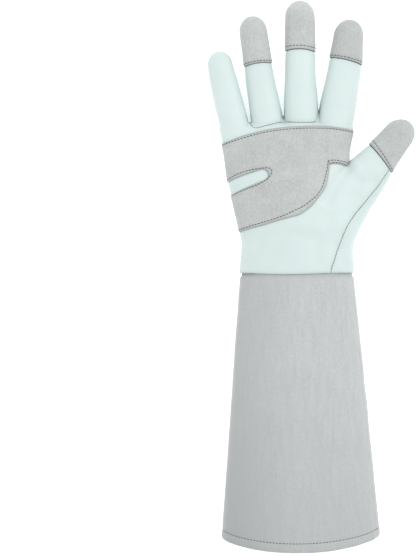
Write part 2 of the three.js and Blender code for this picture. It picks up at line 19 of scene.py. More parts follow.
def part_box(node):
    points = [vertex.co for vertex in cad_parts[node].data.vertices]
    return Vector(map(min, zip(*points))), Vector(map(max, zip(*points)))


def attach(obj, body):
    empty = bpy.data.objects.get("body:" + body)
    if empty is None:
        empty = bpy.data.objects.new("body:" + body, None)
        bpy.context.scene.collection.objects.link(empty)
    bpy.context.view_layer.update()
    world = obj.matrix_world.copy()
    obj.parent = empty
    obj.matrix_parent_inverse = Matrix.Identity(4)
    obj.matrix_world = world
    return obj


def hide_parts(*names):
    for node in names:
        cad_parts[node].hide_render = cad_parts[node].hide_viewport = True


bl_info = {
    "name": "Rose pruning gauntlet",
    "version": (1, 0, 0),
    "blender": (4, 5, 0),
    "location": "View3D > Sidebar > Gauntlet",
    "description": "A long goatskin and suede glove, sewn piece by piece",
    "category": "Add Mesh",
}

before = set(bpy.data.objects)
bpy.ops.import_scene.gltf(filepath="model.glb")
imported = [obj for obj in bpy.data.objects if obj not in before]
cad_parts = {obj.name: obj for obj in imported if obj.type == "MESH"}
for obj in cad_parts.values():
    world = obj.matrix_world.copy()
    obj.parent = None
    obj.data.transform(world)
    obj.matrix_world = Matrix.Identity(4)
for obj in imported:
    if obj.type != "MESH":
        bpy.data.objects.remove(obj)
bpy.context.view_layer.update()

MM = 0.001
PALM_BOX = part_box("palm_panel")
CUFF_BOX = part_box("cuff")
TIP_PROUD = 0.5 * MM  # how far a suede fingertip stands above the white leather
WRIST = PALM_BOX[0].y
HAND_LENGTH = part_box("middle_tip")[1].y - TIP_PROUD - WRIST
CUFF_LENGTH = WRIST - CUFF_BOX[0].y
CUFF_OFFSET = -0.4 * MM  # the cuff starts this much nearer the little finger's side
CUFF_LEAN = 2.2 * MM  # the hem's middle lies this much nearer the thumb side than the wrist's

SECTION_POWER = 2.35  # a section is a superellipse, a little squarer than an ellipse
VOXEL = 0.8 * MM  # spacing of the grid that the hand's soft form is drawn in
GRID_MARGIN = 4 * MM
RELAX_ROUNDS = 6
RELAX_STEPS = (0.5, -0.52)  # towards a point's neighbours, and back again a little further
ROOT_BLEND = 7 * MM  # the fingers flow into the palm over this width
FORK_BLEND = 1.2 * MM  # and into each other over this one, which holds near a fork too
FORK_REACH = 9 * MM  # as far from it as this
TABLE_PRESS = 0.9 * MM  # the soft underside would hang this far below the table
TABLE_TURN = 0.3 * MM  # it turns on to the table over this height
TABLE_SINK = 0.02 * MM  # and sinks into it this far
SEAM_GAP = 0.24 * MM  # between two sewn pieces
TINY = 1e-30  # keeps divisions away from zero
CORE = 1e-3  # and so does this, in the very middle of a section
NOISE_SHIFT = np.array([7.1, 3.3, 5.7])  # one seed's noise lies this far from the next one's
SOFT_SAMPLES = 800  # of a table that is softened
SOFT_ENDS = 4  # reaches that they run on for beyond both ends
SOFT_CUT = 3  # reaches either way that count for one value
ARCH_POINTS = 9
FAR_RIGHT = 2  # beyond the glove, in palm widths
LINE_STEPS = 8  # points of a smooth line from one row of its table to the next
PATH_STEPS = 32  # the same along the middle line of a finger
PATH_REACH = 0.02  # a finger's direction is taken over this many rows either way
OUTLINE_POINTS = 40  # along one side of a finger
TIP_POINTS = 12  # along one side of a fingertip
THUMB_STRIP_POINTS = 20

# Height of the side seam, where palm and back pieces meet: up the hand as a share of its length,
# and up from the table as a share of the palm's height
SIDE_SEAM = [(-1.2, 0.52), (0.04, 0.52), (0.12, 0.49), (0.35, 0.43), (0.5, 0.36), (0.62, 0.31),
             (1.1, 0.3)]
SIDE_SEAM_SOFT = 0.03  # the seam's bends are softened over this share of the hand's length

# Rows of the hand without its fingers: up as a share of the hand's length, left and right as
# shares of the palm's width, top and bottom as shares of the palm's height
HAND_SECTIONS = [
    (-0.06, -0.4265, 0.4265, 1.1, 0.02),
    (0.0, -0.44, 0.424, 1.1, 0.02),
    (0.03, -0.435, 0.4285, 1.1, 0.02),
    (0.065, -0.423, 0.418, 1.07, 0.05),
    (0.098, -0.42, 0.406, 1.03, 0.1),
    (0.14, -0.433, 0.4, 1.01, 0.09),
    (0.19, -0.456, 0.398, 1.0, 0.03),
    (0.344, -0.529, 0.378, 0.99, 0.0),
    (0.468, -0.559, 0.394, 0.88, 0.0),
    (0.522, -0.565, 0.412, 0.78, 0.02),
    (0.545, -0.567, 0.412, 0.68, 0.08),
    (0.56, -0.565, 0.405, 0.55, 0.14),
]
SECTIONS_SOFT = 0.012  # their bends are softened over this share of the hand's length
PALM_CAP = 6 * MM  # the palm rounds off over this length between the fingers' roots

# Rows of a finger's path: across, up, half width, top and bottom. The first two are shares of the
# palm's width and the hand's length, the others of the finger's own width and height.
DIGIT_PATHS = {
    "little": [
        (-0.405, 0.38, 0.25, 0.85, 0.1),
        (-0.467, 0.53, 0.455, 1.05, 0),
        (-0.539, 0.671, 0.453, 0.93, 0),
        (-0.583, 0.77, 0.405, 0.86, 0),
        (-0.603, 0.817, 0.375, 0.8, 0),
    ],
    "ring": [
        (-0.18, 0.4, 0.4, 1.2, 0),
        (-0.22, 0.54, 0.52, 1.14, 0),
        (-0.275, 0.7, 0.47, 0.97, 0),
        (-0.325, 0.87, 0.42, 0.9, 0),
        (-0.35, 0.942, 0.39, 0.84, 0),
    ],
    "middle": [
        (0.035, 0.4, 0.42, 1.2, 0),
        (0.03, 0.55, 0.55, 1.17, 0),
        (0.024, 0.74, 0.5, 1.0, 0),
        (0.022, 0.92, 0.455, 0.92, 0),
        (0.02, 1.0, 0.42, 0.86, 0),
    ],
    "index": [
        (0.22, 0.38, 0.28, 0.9, 0.1),
        (0.283, 0.54, 0.555, 1.13, 0),
        (0.3545, 0.739, 0.545, 1.0, 0),
        (0.39, 0.87, 0.46, 0.91, 0),
        (0.401, 0.931, 0.43, 0.86, 0),
    ],
    "thumb": [
        (0.2, 0.07, 0.45, 1.05, 0.2),
        (0.254, 0.16, 0.505, 1.08, 0.08),
        (0.374, 0.267, 0.5, 1.0, 0),
        (0.516, 0.3565, 0.436, 0.86, 0),
        (0.638, 0.431, 0.346, 0.75, 0),
        (0.7815, 0.516, 0.286, 0.68, 0),
        (0.839, 0.556, 0.25, 0.64, 0),
    ],
}
# Rows of a suede fingertip's lower edge: where it ends on the left and on the right, as shares of
# its length, how far it arches up between them and how far above it the stitches lie, both in
# millimetres, then how much darker the fingertip is painted
TIP_EDGES = {
    "ring": (1.07, 1.065, 1.9, 3.1, 0.0),
    "middle": (1.09, 1.14, 2.6, 4.0, 0.0),
    "index": (0.878, 0.954, 1.4, 2.8, 1.2),
    "thumb": (0.875, 1.09, 0.5, 2.6, 0.8),
}
STITCH_ARCH = 0.45  # the stitches arch less than the edge: this share
ROUND_END = 1.12  # length of a finger's rounded end, as a share of its half width there

# Lines on the hand seen from above: across and up, as shares of the palm's width and the hand's
# length
FINGER_FRONT_SEAM = [
    (-0.366, 0.575), (-0.352, 0.547), (-0.32, 0.5315), (-0.235, 0.5395), (-0.112, 0.5535),
    (-0.035, 0.5515), (0.077, 0.5505), (0.138, 0.5545), (0.158, 0.579),
]
FRONT_SEAM_FORK = 4  # the row of that seam where the ring and middle fronts meet
GAP_LITTLE_RING = [(-0.39, 0.64), (-0.42, 0.73), (-0.47, 0.84), (-0.48, 1.05)]
GAP_RING_MIDDLE = [(-0.118, 0.62), (-0.145, 0.75), (-0.19, 0.92), (-0.2, 1.05)]
GAP_MIDDLE_INDEX = [(0.17, 0.66), (0.2, 0.8), (0.23, 0.93), (0.26, 1.05)]
THUMB_PALM_SEAM = [
    (0.765, 0.435), (0.684, 0.374), (0.607, 0.319), (0.508, 0.26), (0.418, 0.207),
    (0.358, 0.158), (0.313, 0.105), (0.275, 0.052), (0.246, 0.005), (0.235, -0.1),
]
THUMB_BACK_SEAM = [
    (0.66, 0.62), (0.5, 0.505), (0.4, 0.413), (0.345, 0.3), (0.265, 0.16), (0.33, 0.12),
    (0.375, -0.1),
]
PATCH_TOP = [
    (-0.68, 0.467), (-0.56, 0.475), (-0.42, 0.499), (-0.27, 0.518), (-0.12, 0.53),
    (0.03, 0.535), (0.18, 0.536), (0.31, 0.53), (0.46, 0.52),
]
PATCH_NOTCH = [
    (0.43, 0.44), (0.4, 0.418), (0.383, 0.406), (0.375, 0.391), (0.315, 0.398), (0.278, 0.399),
    (0.237, 0.397),
]
PATCH_BOTTOM = [
    (0.229, 0.367), (0.22, 0.344), (0.207, 0.319), (0.183, 0.296), (0.139, 0.268), (0.102, 0.246),
    (0.054, 0.227), (0.007, 0.213), (-0.059, 0.204), (-0.153, 0.191), (-0.247, 0.177),
    (-0.34, 0.165), (-0.434, 0.151), (-0.62, 0.12),
]
SLOT_LINE = [(-0.263, 0.3575), (-0.352, 0.342), (-0.462, 0.32), (-0.68, 0.267)]
# The forks between fingers: the two fingers, and where a side strip turns from one to the next
FORKS = {
    "little_ring_strip": ("little", "ring", (-0.364, 0.562)),
    "ring_middle_strip": ("ring", "middle", (-0.108, 0.562)),
    "middle_index_strip": ("middle", "index", (0.156, 0.572)),
}
THUMB_FORK = (0.375, 0.404)

# Rows of stitches seen from above, in the same shares
PATCH_TOP_STITCHES = [
    (-0.6, 0.461), (-0.558, 0.47), (-0.423, 0.491), (-0.273, 0.511), (-0.123, 0.523),
    (0.027, 0.528), (0.177, 0.529), (0.277, 0.526), (0.418, 0.516),
]
NOTCH_STITCHES = [(0.381, 0.403), (0.315, 0.41), (0.27, 0.412), (0.231, 0.409)]
NOTCH_EDGE_STITCHES = [(0.372, 0.395), (0.315, 0.402), (0.278, 0.403), (0.24, 0.401)]
PATCH_BOTTOM_STITCHES = [
    (0.228, 0.407), (0.217, 0.376), (0.204, 0.351), (0.191, 0.328), (0.173, 0.306), (0.136, 0.281),
    (0.089, 0.262), (0.033, 0.242), (-0.023, 0.229), (-0.079, 0.216), (-0.154, 0.201),
    (-0.247, 0.187), (-0.34, 0.174), (-0.434, 0.159), (-0.453, 0.156),
]
SLOT_STITCHES = [
    (-0.539, 0.34), (-0.523, 0.344), (-0.434, 0.365), (-0.34, 0.377), (-0.247, 0.383),
    (-0.209, 0.38), (-0.196, 0.369), (-0.209, 0.355), (-0.232, 0.343), (-0.265, 0.332),
    (-0.312, 0.32), (-0.434, 0.298), (-0.495, 0.284), (-0.513, 0.28),
]

# The leather's creases on the palm side: a line in the same shares, depth and width in millimetres
CREASES = [
    ([(0.2, 0.6), (0.26, 0.606), (0.34, 0.603), (0.38, 0.598)], 0.16, 2.6),
    ([(-0.56, 0.62), (-0.5, 0.605), (-0.43, 0.6)], 0.25, 2.5),
    ([(0.375, 0.383), (0.31, 0.345), (0.26, 0.305), (0.22, 0.265)], 0.9, 4.0),
    ([(0.39, 0.37), (0.43, 0.345), (0.49, 0.33), (0.56, 0.335)], 0.6, 4.0),
    ([(0.42, 0.33), (0.42, 0.28), (0.38, 0.22)], 0.4, 5.0),
    ([(-0.38, 0.12), (-0.2, 0.135), (0.0, 0.14), (0.12, 0.12)], 0.5, 4.5),
    ([(0.16, 0.03), (0.14, 0.08), (0.17, 0.14), (0.24, 0.2)], 0.4, 4.0),
    ([(-0.4, 0.03), (-0.33, 0.055), (-0.3, 0.1)], 0.4, 3.5),
    ([(0.38, 0.02), (0.33, 0.05), (0.31, 0.09)], 0.4, 3.0),
]
CREASE_RIM = 0.5  # leather beside a crease rises by this share of its depth
CREASE_RIM_AWAY = 1.9  # this many widths from its middle
CREASES_FADE = 4  # they are full where the skin faces up by more than 1 in this
# Size of the lumps, random seed and stretch of each kind of soft dent
WIDE_DENTS = (26 * MM, 3)
SMALL_DENTS = (9 * MM, 11)
SMALL_DENT_DEPTH = 0.35  # share of the depth of the wide ones
PLEAT_DRIFT = (20 * MM, 5)
PLEAT_DRIFT_WIDTH = 1.5 * MM  # the pleats wander this far sideways
CUFF_WAVES = (34 * MM, 21, (1, 3.2, 1))
CUFF_WAVE_DEPTH = 1.1 * MM
CUFF_RIPPLES = (12 * MM, 23, (1, 1.6, 1))
CUFF_RIPPLE_DEPTH = 0.35 * MM

SHIRRING_UP = (0.104, 0.139)  # the elastic's lower and upper edge on the back of the wrist
SHIRRING_ACROSS = (-0.42, 0.33)
SHIRRING_END = 12  # the pleats fade out at its ends, more quickly for a larger number
PLEAT_WIDTH = 7.7 * MM
PLEAT_FADE = 0.035  # they fade out above and below it over this share of the hand's length
PLEAT_STITCHED = 0.6  # and are this much flatter where the elastic is sewn down
PLEATS_FADE = -2  # they are full where the skin faces down by more than 1 in 2
BACK_COVER = 0.66  # the back piece covers this share of a finger's half width
BACK_WIDENS = 0.82  # share of a finger's length from which it covers more, up to the end
BACK_WIDENING = 1.5  # 1 would widen evenly, more widens late
BACK_PAST = 1 * MM  # at the end it passes the finger's side by this much
THUMB_STRIP_FROM = 0.52  # share of the thumb's length where its strip starts
STRIP_SLOPE = 0.45  # a strip gets wider by this share of the height above the table
FORK_DEPTH = 5 * MM  # how far a side strip runs past the fork of two fingers
FORK_WIDTH = 6.5 * MM  # and how wide it is there
OUTLINE_MARGIN = 3.5 * MM  # a fingertip's outline passes this far outside the finger
SLOT_WIDTH = 9.0 * MM  # at its closed end
SLOT_MOUTH = 11.5 * MM  # and at the little finger's side
SLOT_STEPS = 10  # points from one row of its line to the next
SLOT_END_ANGLES = np.arange(165, 0, -15)  # degrees, round the slot's closed end

SEAM_ROLL = 0.55 * MM  # a sewn edge turns down into its seam
EDGE_ROLL = 0.12 * MM  # a raw suede edge hardly does
ROLL_WIDTH = 1.3 * MM  # both over this width
PATCH_GAP = 0.3 * MM  # between the patch and the white leather
PATCH_AT_SIDES = 0.25  # the patch thins out into the side seams
LIFT_FADES = 1.6  # its full lift is left where the skin faces up by more than 1 in this
TIP_EDGE_GAP = 0.3 * MM  # a dark line shows under a fingertip's edge

# How much wear and painted shade show, as an amount and the width that it fades over
SEAM_DIRT_AND_SHADE = (0.7, 3 * MM)  # a soft grey along every edge: dirt, and painted shade in the seam
SEAM_WEAR = (0.3, 0.6 * MM)  # a sewn edge's own line
RAW_EDGE_AND_SHADOW = (3.0, 0.6 * MM)  # a raw edge's darker cut nap, and painted shadow along it
PATCH_SHADE = (5.0, 0.5 * MM)  # painted shadow on the palm, along the patch's edge
# Painted shadow along the wrist seam, where the white leather laps over the cuff
WRIST_SEAM_SHADOW = (5.0, 0.7 * MM)
FORK_SHADE = (60.0, 2.6 * MM)  # painted shade deep in the forks between the fingers
FORK_SHADE_TOP = 15 * MM  # and none of it lies above this height
FORK_SHADE_UP = 1.5 * MM  # how far beyond the fork's point it is darkest
HEEL_DARKENING = 0.45  # the palm's heel and the thumb side are painted darker
HEEL_FADE = (1.6, 4.0)  # up the hand: full below, then falling by so much for its length
THUMB_FADE = (0.28, 6.0)  # across it: from here, rising by so much for the palm's width

STITCH_PITCH = 2.6 * MM
THREAD = 0.33 * MM  # half the thread's thickness
THREAD_SINK = 0.2 * THREAD  # it sinks this far into leather without a groove
STITCH_SINK = 0.3 * MM  # thread pulls the leather down this much
STITCH_GROOVE = 0.9 * MM  # over this width
GROOVE_REACH = 2 * MM  # grooves are worked out this far outside a piece's edge too
IN_THE_GROOVE = 0.5 * STITCH_SINK  # its threads lie this far down in it
IN_THE_SEAM = 0.6 * SEAM_ROLL  # and those of a seam this far down in the seam
FINGER_CLEAR = 16 * MM  # this far from its middle, a finger's end is passed but no neighbour met
FINGER_MIDDLE = 10 * MM  # height of that middle
FINGER_ANGLES = np.arange(3, 178, 3)  # degrees, where a row of stitches over it is laid
RAY_START = 200 * MM  # rays for the other rows start this far above the table, or below it
LINE_SPACING = 1 * MM  # between the points of a row that the stitches follow
TURNED_EDGE_UP = 0.018  # a row of stitches holds the turned edge above the wrist
TURNED_EDGE_END = 0.3  # it ends here, across the hand, and starts where the elastic does
ZIGZAG_TEETH = 11
ZIGZAG_INSET = 0.02  # the zigzag ends this far inside the elastic
# Kinds of stitches: from one to the next, length of one, and half the thread's thickness
BOLD_STITCH = (STITCH_PITCH, 0.8 * STITCH_PITCH, THREAD)
STITCHES = {
    "patch_stitches": BOLD_STITCH,
    "fingertip_stitches": BOLD_STITCH,
    "seam_stitches": (2.2 * MM, 1.4 * MM, 0.45 * THREAD),
    "hem_stitches": BOLD_STITCH,
    "back_stitches": (1.8 * MM, 1.4 * MM, 0.8 * THREAD),
}

CUFF_LAP = 8 * MM  # the cuff starts this far inside the wrist
EDGE_SAG = 1.3 * MM  # the white leather's edge hangs this much lower, left of the thumb's seam
EDGE_SAG_ACROSS = -0.08  # lowest here, in palm widths from the hand's middle
EDGE_SAG_WIDTH = 0.25  # and back up over this
WRIST_TUCK = 1.45 * MM  # the cuff lies this far under the hand's surface at the wrist
TUCK_END = 0.4 * MM  # down to this far below the white leather's edge
TUCK_OUT = 1.6 * MM  # and comes out from under it over this length
CUFF_AROUND = 230  # points round the cuff
LAP_ROWS = 5  # rows of points inside the wrist
CUFF_DOWN = 124  # from the wrist to the hem
HEM_START = 1.5  # this many walls above the hem's edge
CUFF_BELOW_LAP = (2 * MM, 3.5 * MM)  # down from the wrist: the lap's last row, and the next
RING_SAMPLES = 1441  # of the ring that the points' even spacing is measured on
# How far the cuff has widened from the wrist's section to the hem's: down, and widened
CUFF_FLARE = [(0, 0), (0.014, 0.01), (0.25, 0.255), (0.55, 0.58), (0.955, 0.972), (1, 1)]
CUFF_SEAM_TURN = 0.35  # the cuff's own seam lies at this angle, near the thumb's side
CUFF_SEAM_WIDTH = 0.03  # also an angle, in radians
CUFF_SEAM_DEPTH = 0.5 * MM  # it pulls the sheet in
CUFF_INSIDE = -0.3  # inside, the folds show the other way round and weaker
CUFF_FLAT = (1 * MM, 12 * MM)  # down from the wrist the folds start here, and grow over this
CUFF_LOW_DARKENING = (1.5, 0.3)  # the cuff's lower part is painted darker, from this share down
CUFF_SIDE_SHADE = 2.1  # painted shade on its outer side
CUFF_WRIST_SHADOW = (2.2, 1.2 * MM)  # amount and width of the painted shadow line at the wrist, under the white leather's edge
HEM_TURN = 10 * MM
HEM_ANGLES = [30, 60, 90, 120, 150]  # degrees, round the fold
HEM_ROWS = 7  # back up inside it
HEM_STITCH = 7.5 * MM  # the hem's stitches lie this far above its edge
HEM_GROOVE = 1.1 * MM  # and pull it down over this width
HEM_SWELL = 0.35 * MM  # the folded edge swells below them
HEM_SAG = 8.9 * MM  # the hem's middle hangs this much lower than its ends
HEM_TILT = 1.25 * MM  # one end lies this much lower, and the other higher
HEM_CORNER = 1.5 * MM  # and both corners lie this much higher still
HEM_CORNER_POWER = 10

# The photograph is taken from straight above, 2 m away. Its middle lies beside the glove.
CAMERA_HEIGHT = 2.0
SCALE_HEIGHT = 12 * MM  # a pixel is PIXEL wide at this height
PIXEL = 0.8 * MM
PHOTO_ROWS = 556
GLOVE_TO_PHOTO_MIDDLE = (-83.5 * MM, -3.6 * MM)
SENSOR_HEIGHT = 24.0  # the camera's own, in millimetres
PAPER_DROP = 0.2 * MM  # the paper lies this far below the glove and never cuts it
PAPER_HALF = 1.5  # half its width
# Soft lamps: name, place, width and power. The stronger one stands to the upper right.
LIGHTS = (
    ("key_light", (1.1, 0.9, 2.0), 1.6, 20.0),
    ("fill_light", (-1.3, -0.3, 1.8), 2.0, 6.5),
)
ROOM_LIGHT = 0.77


def point_normals(points, faces):
    """Outward directions of a triangle mesh at its points."""
    corners = points[faces]
    around = np.cross(corners[:, 1] - corners[:, 0], corners[:, 2] - corners[:, 0])
    normals = np.zeros_like(points)
    for corner in range(3):
        np.add.at(normals, faces[:, corner], around)
    return normals / np.maximum(np.linalg.norm(normals, axis=1, keepdims=True), TINY)


def facing_out(points, faces, normals):
    """Turns a mesh's faces and directions outwards, if they point inwards."""
    if (normals * (points - points.mean(0))).sum() < 0:
        return faces[:, ::-1], -normals
    return faces, normals


def facing_up(normals, steepness):
    """1 where the skin faces up, fading to 0 where it is upright, more abruptly if steeper.

    With a negative steepness it is 1 where the skin faces down.
    """
    return np.clip(steepness * normals[:, 2], 0, 1)


def relaxed(points, faces):
    """Evens out a mesh, in pairs of one step towards the neighbours and one back again."""
    pairs = np.concatenate([faces[:, [0, 1]], faces[:, [1, 2]], faces[:, [2, 0]]])
    count = np.bincount(pairs[:, 0], minlength=len(points))[:, None]
    for step in RELAX_STEPS * RELAX_ROUNDS:
        total = np.stack(
            [np.bincount(pairs[:, 0], points[pairs[:, 1], k], len(points)) for k in range(3)], 1
        )
        points = points + step * (total / count - points)
    return points


def pressed_flat(height):
    """Heights kept above the table, with a soft turn where they meet it."""
    return 0.5 * (height + np.sqrt(height**2 + TABLE_TURN**2)) - TABLE_SINK


def falloff(away, width):
    """1 where away is 0, and down to nothing two or three widths off."""
    return np.exp(-((away / width) ** 2))


def soft_noise(points, size, seed, stretch=(1, 1, 1)):
    """Smooth random values about from -1 to 1, with lumps of one size."""
    shift = Vector(seed * NOISE_SHIFT)
    scaled = points / (size * np.array(stretch))
    return np.array([noise.noise(Vector(place) + shift) for place in scaled])


def soft_values(places, rows, columns, reach):
    """A table's values at some places: straight from row to row, then softened over a reach."""
    ends = SOFT_ENDS * reach
    dense = np.linspace(places.min() - ends, places.max() + ends, SOFT_SAMPLES)
    straight = np.interp(dense, rows, columns)
    step = dense[1] - dense[0]
    count = max(1, int(SOFT_CUT * reach / step))
    weights = np.exp(-0.5 * (np.arange(-count, count + 1) * step / reach) ** 2)
    padded = np.pad(straight, count, mode="edge")
    return np.interp(places, dense, np.convolve(padded, weights / weights.sum(), "valid"))


def on_spline(rows, place):
    """Points on a smooth curve through all the rows. place counts rows from 0."""
    rows = np.asarray(rows, float)
    place = np.asarray(place, float)
    last = len(rows) - 1
    row = np.clip(np.floor(place).astype(int), 0, last - 1)
    t = (place - row)[..., None]
    before, here, after, beyond = (rows[np.clip(row + k, 0, last)] for k in (-1, 0, 1, 2))
    leave = (after - before) / 2
    arrive = (beyond - here) / 2
    cubic = (2 * here - 2 * after + leave + arrive) * t**3
    return cubic + (3 * after - 3 * here - 2 * leave - arrive) * t**2 + leave * t + here


def lengths_along(line):
    """How far along a line of points each of them lies."""
    steps = np.linalg.norm(np.diff(line, axis=0), axis=1)
    return np.concatenate([[0], np.cumsum(steps)])


def smooth_line(rows, steps=LINE_STEPS):
    """A smooth line through the rows, with some steps from each row to the next."""
    last = len(rows) - 1
    return on_spline(rows, np.linspace(0, last, last * steps + 1))


def arched(left, right, rise):
    """A line from left to right, seen from above, that arches up between them."""
    share = np.linspace(0, 1, ARCH_POINTS)[:, None]
    up = np.array([left[1] - right[1], right[0] - left[0]])
    up /= np.linalg.norm(up)
    return left + (right - left) * share + 4 * rise * share * (1 - share) * up


def reach_from_line(line, places):
    """The distance from each place to an open line, seen from above."""
    nearest = np.full(len(places), np.inf)
    for start, end in zip(line[:-1], line[1:]):
        along = end - start
        offset = places - start
        share = np.clip(offset @ along / (along @ along), 0, 1)
        nearest = np.minimum(nearest, np.hypot(*(offset - share[:, None] * along).T))
    return nearest


def reach_inside(outline, places):
    """How far each place lies inside a closed outline, seen from above. Outside is negative."""
    closed = np.concatenate([outline, outline[:1]])
    inside = np.zeros(len(places), bool)
    for start, end in zip(closed[:-1], closed[1:]):
        if start[1] != end[1]:
            x, y = (places - start).T
            crosses = (start[1] <= places[:, 1]) != (end[1] <= places[:, 1])
            inside ^= crosses & (x < y * (end[0] - start[0]) / (end[1] - start[1]))
    nearest = reach_from_line(closed, places)
    return np.where(inside, nearest, -nearest)


def soft_union(a, b, blend):
    """Joins two distance fields, with a fillet where they meet."""
    share = np.clip(0.5 + 0.5 * (b - a) / blend, 0, 1)
    return b + (a - b) * share - blend * share * (1 - share)


def section_field(across, height, past, half, rise, cap):
    """Near enough the distance to a form with superellipse sections and a rounded end."""
    across, height, past = np.abs(across), np.abs(height), np.maximum(past, 0)
    ratio = (across / half) ** SECTION_POWER + (height / rise) ** SECTION_POWER
    ratio = np.sqrt(ratio ** (2 / SECTION_POWER) + (past / cap) ** 2)
    reach = np.sqrt(across**2 + height**2 + past**2)
    return reach - reach / np.maximum(ratio, CORE)


class Digit:
    """A finger or the thumb: its middle line, half width and heights anywhere along it."""

    def __init__(self, hand, name):
        sizes = hand.sizes
        thumb = name == "thumb"
        width = sizes.thumb_width if thumb else sizes.finger_width
        height = sizes.thumb_height if thumb else sizes.finger_height
        rows = np.array(DIGIT_PATHS[name])
        line = hand.plan(rows[:, :2])
        self.last = len(rows) - 1
        self.rows = np.column_stack([line, rows[:, 2] * width, rows[:, 3] * height])
        self.lows = rows[:, 4] * height - TABLE_PRESS
        self.samples = np.linspace(0, self.last, PATH_STEPS * self.last + 1)
        self.path = on_spline(self.rows[:, :2], self.samples)
        self.lengths = lengths_along(self.path)

    def at(self, share):
        """Middle point, direction to the right and half width at a share of the path."""
        place = np.asarray(share, float) * self.last
        values = on_spline(self.rows, place)
        ahead = on_spline(self.rows[:, :2], np.minimum(place + PATH_REACH, self.last))
        behind = on_spline(self.rows[:, :2], np.maximum(place - PATH_REACH, 0))
        along = ahead - behind
        along /= np.linalg.norm(along, axis=-1, keepdims=True)
        right = np.stack([along[..., 1], -along[..., 0]], axis=-1)
        return values[..., :2], right, values[..., 2]

    def edge(self, share, side, past=0.0):
        """A point at the side, seen from above: side -1 is the left edge and 1 the right one."""
        middle, right, half = self.at(share)
        reach = side * half + np.sign(side) * past
        return middle + right * np.asarray(reach)[..., None]

    def from_end(self, length):
        """The share of the path that lies a straight length back from its end."""
        away = np.hypot(*(self.path - self.path[-1]).T)
        return self.samples[np.argmax(away < length)] / self.last

    def plan(self, x, y):
        """For places seen from above: place on the path, offset to the right, length along it."""
        places = np.stack([x.ravel(), y.ravel()], axis=-1)
        found = np.zeros(len(places), int)
        best = np.full(len(places), np.inf)
        for i, point in enumerate(self.path):
            away = ((places - point) ** 2).sum(1)
            nearer = away < best
            found[nearer] = i
            best[nearer] = away[nearer]
        i = np.clip(found, 1, len(self.path) - 2)
        along = self.path[i + 1] - self.path[i - 1]
        step = np.linalg.norm(along, axis=1)
        along /= step[:, None]
        offset = places - self.path[i]
        ahead = (offset * along).sum(1)
        side = offset[:, 0] * along[:, 1] - offset[:, 1] * along[:, 0]
        place = self.samples[i] + ahead * (self.samples[i + 1] - self.samples[i - 1]) / step
        shape = x.shape
        return (np.clip(place, 0, self.last).reshape(shape), side.reshape(shape),
                (self.lengths[i] + ahead).reshape(shape))

    def field(self, x, y, z, seam):
        """Near enough the distance to this finger."""
        place, side, along = self.plan(x, y)
        half, top = np.moveaxis(on_spline(self.rows[:, 2:], place), -1, 0)
        low = np.interp(place, np.arange(self.last + 1), self.lows)
        cap = ROUND_END * self.rows[-1, 2]
        past = np.maximum(along - self.lengths[-1] + cap, -along)[..., None]
        seam = seam[..., None]
        rise = np.where(z > seam, top[..., None] - seam, seam - low[..., None])
        return section_field(side[..., None], z - seam, past, half[..., None], rise, cap)


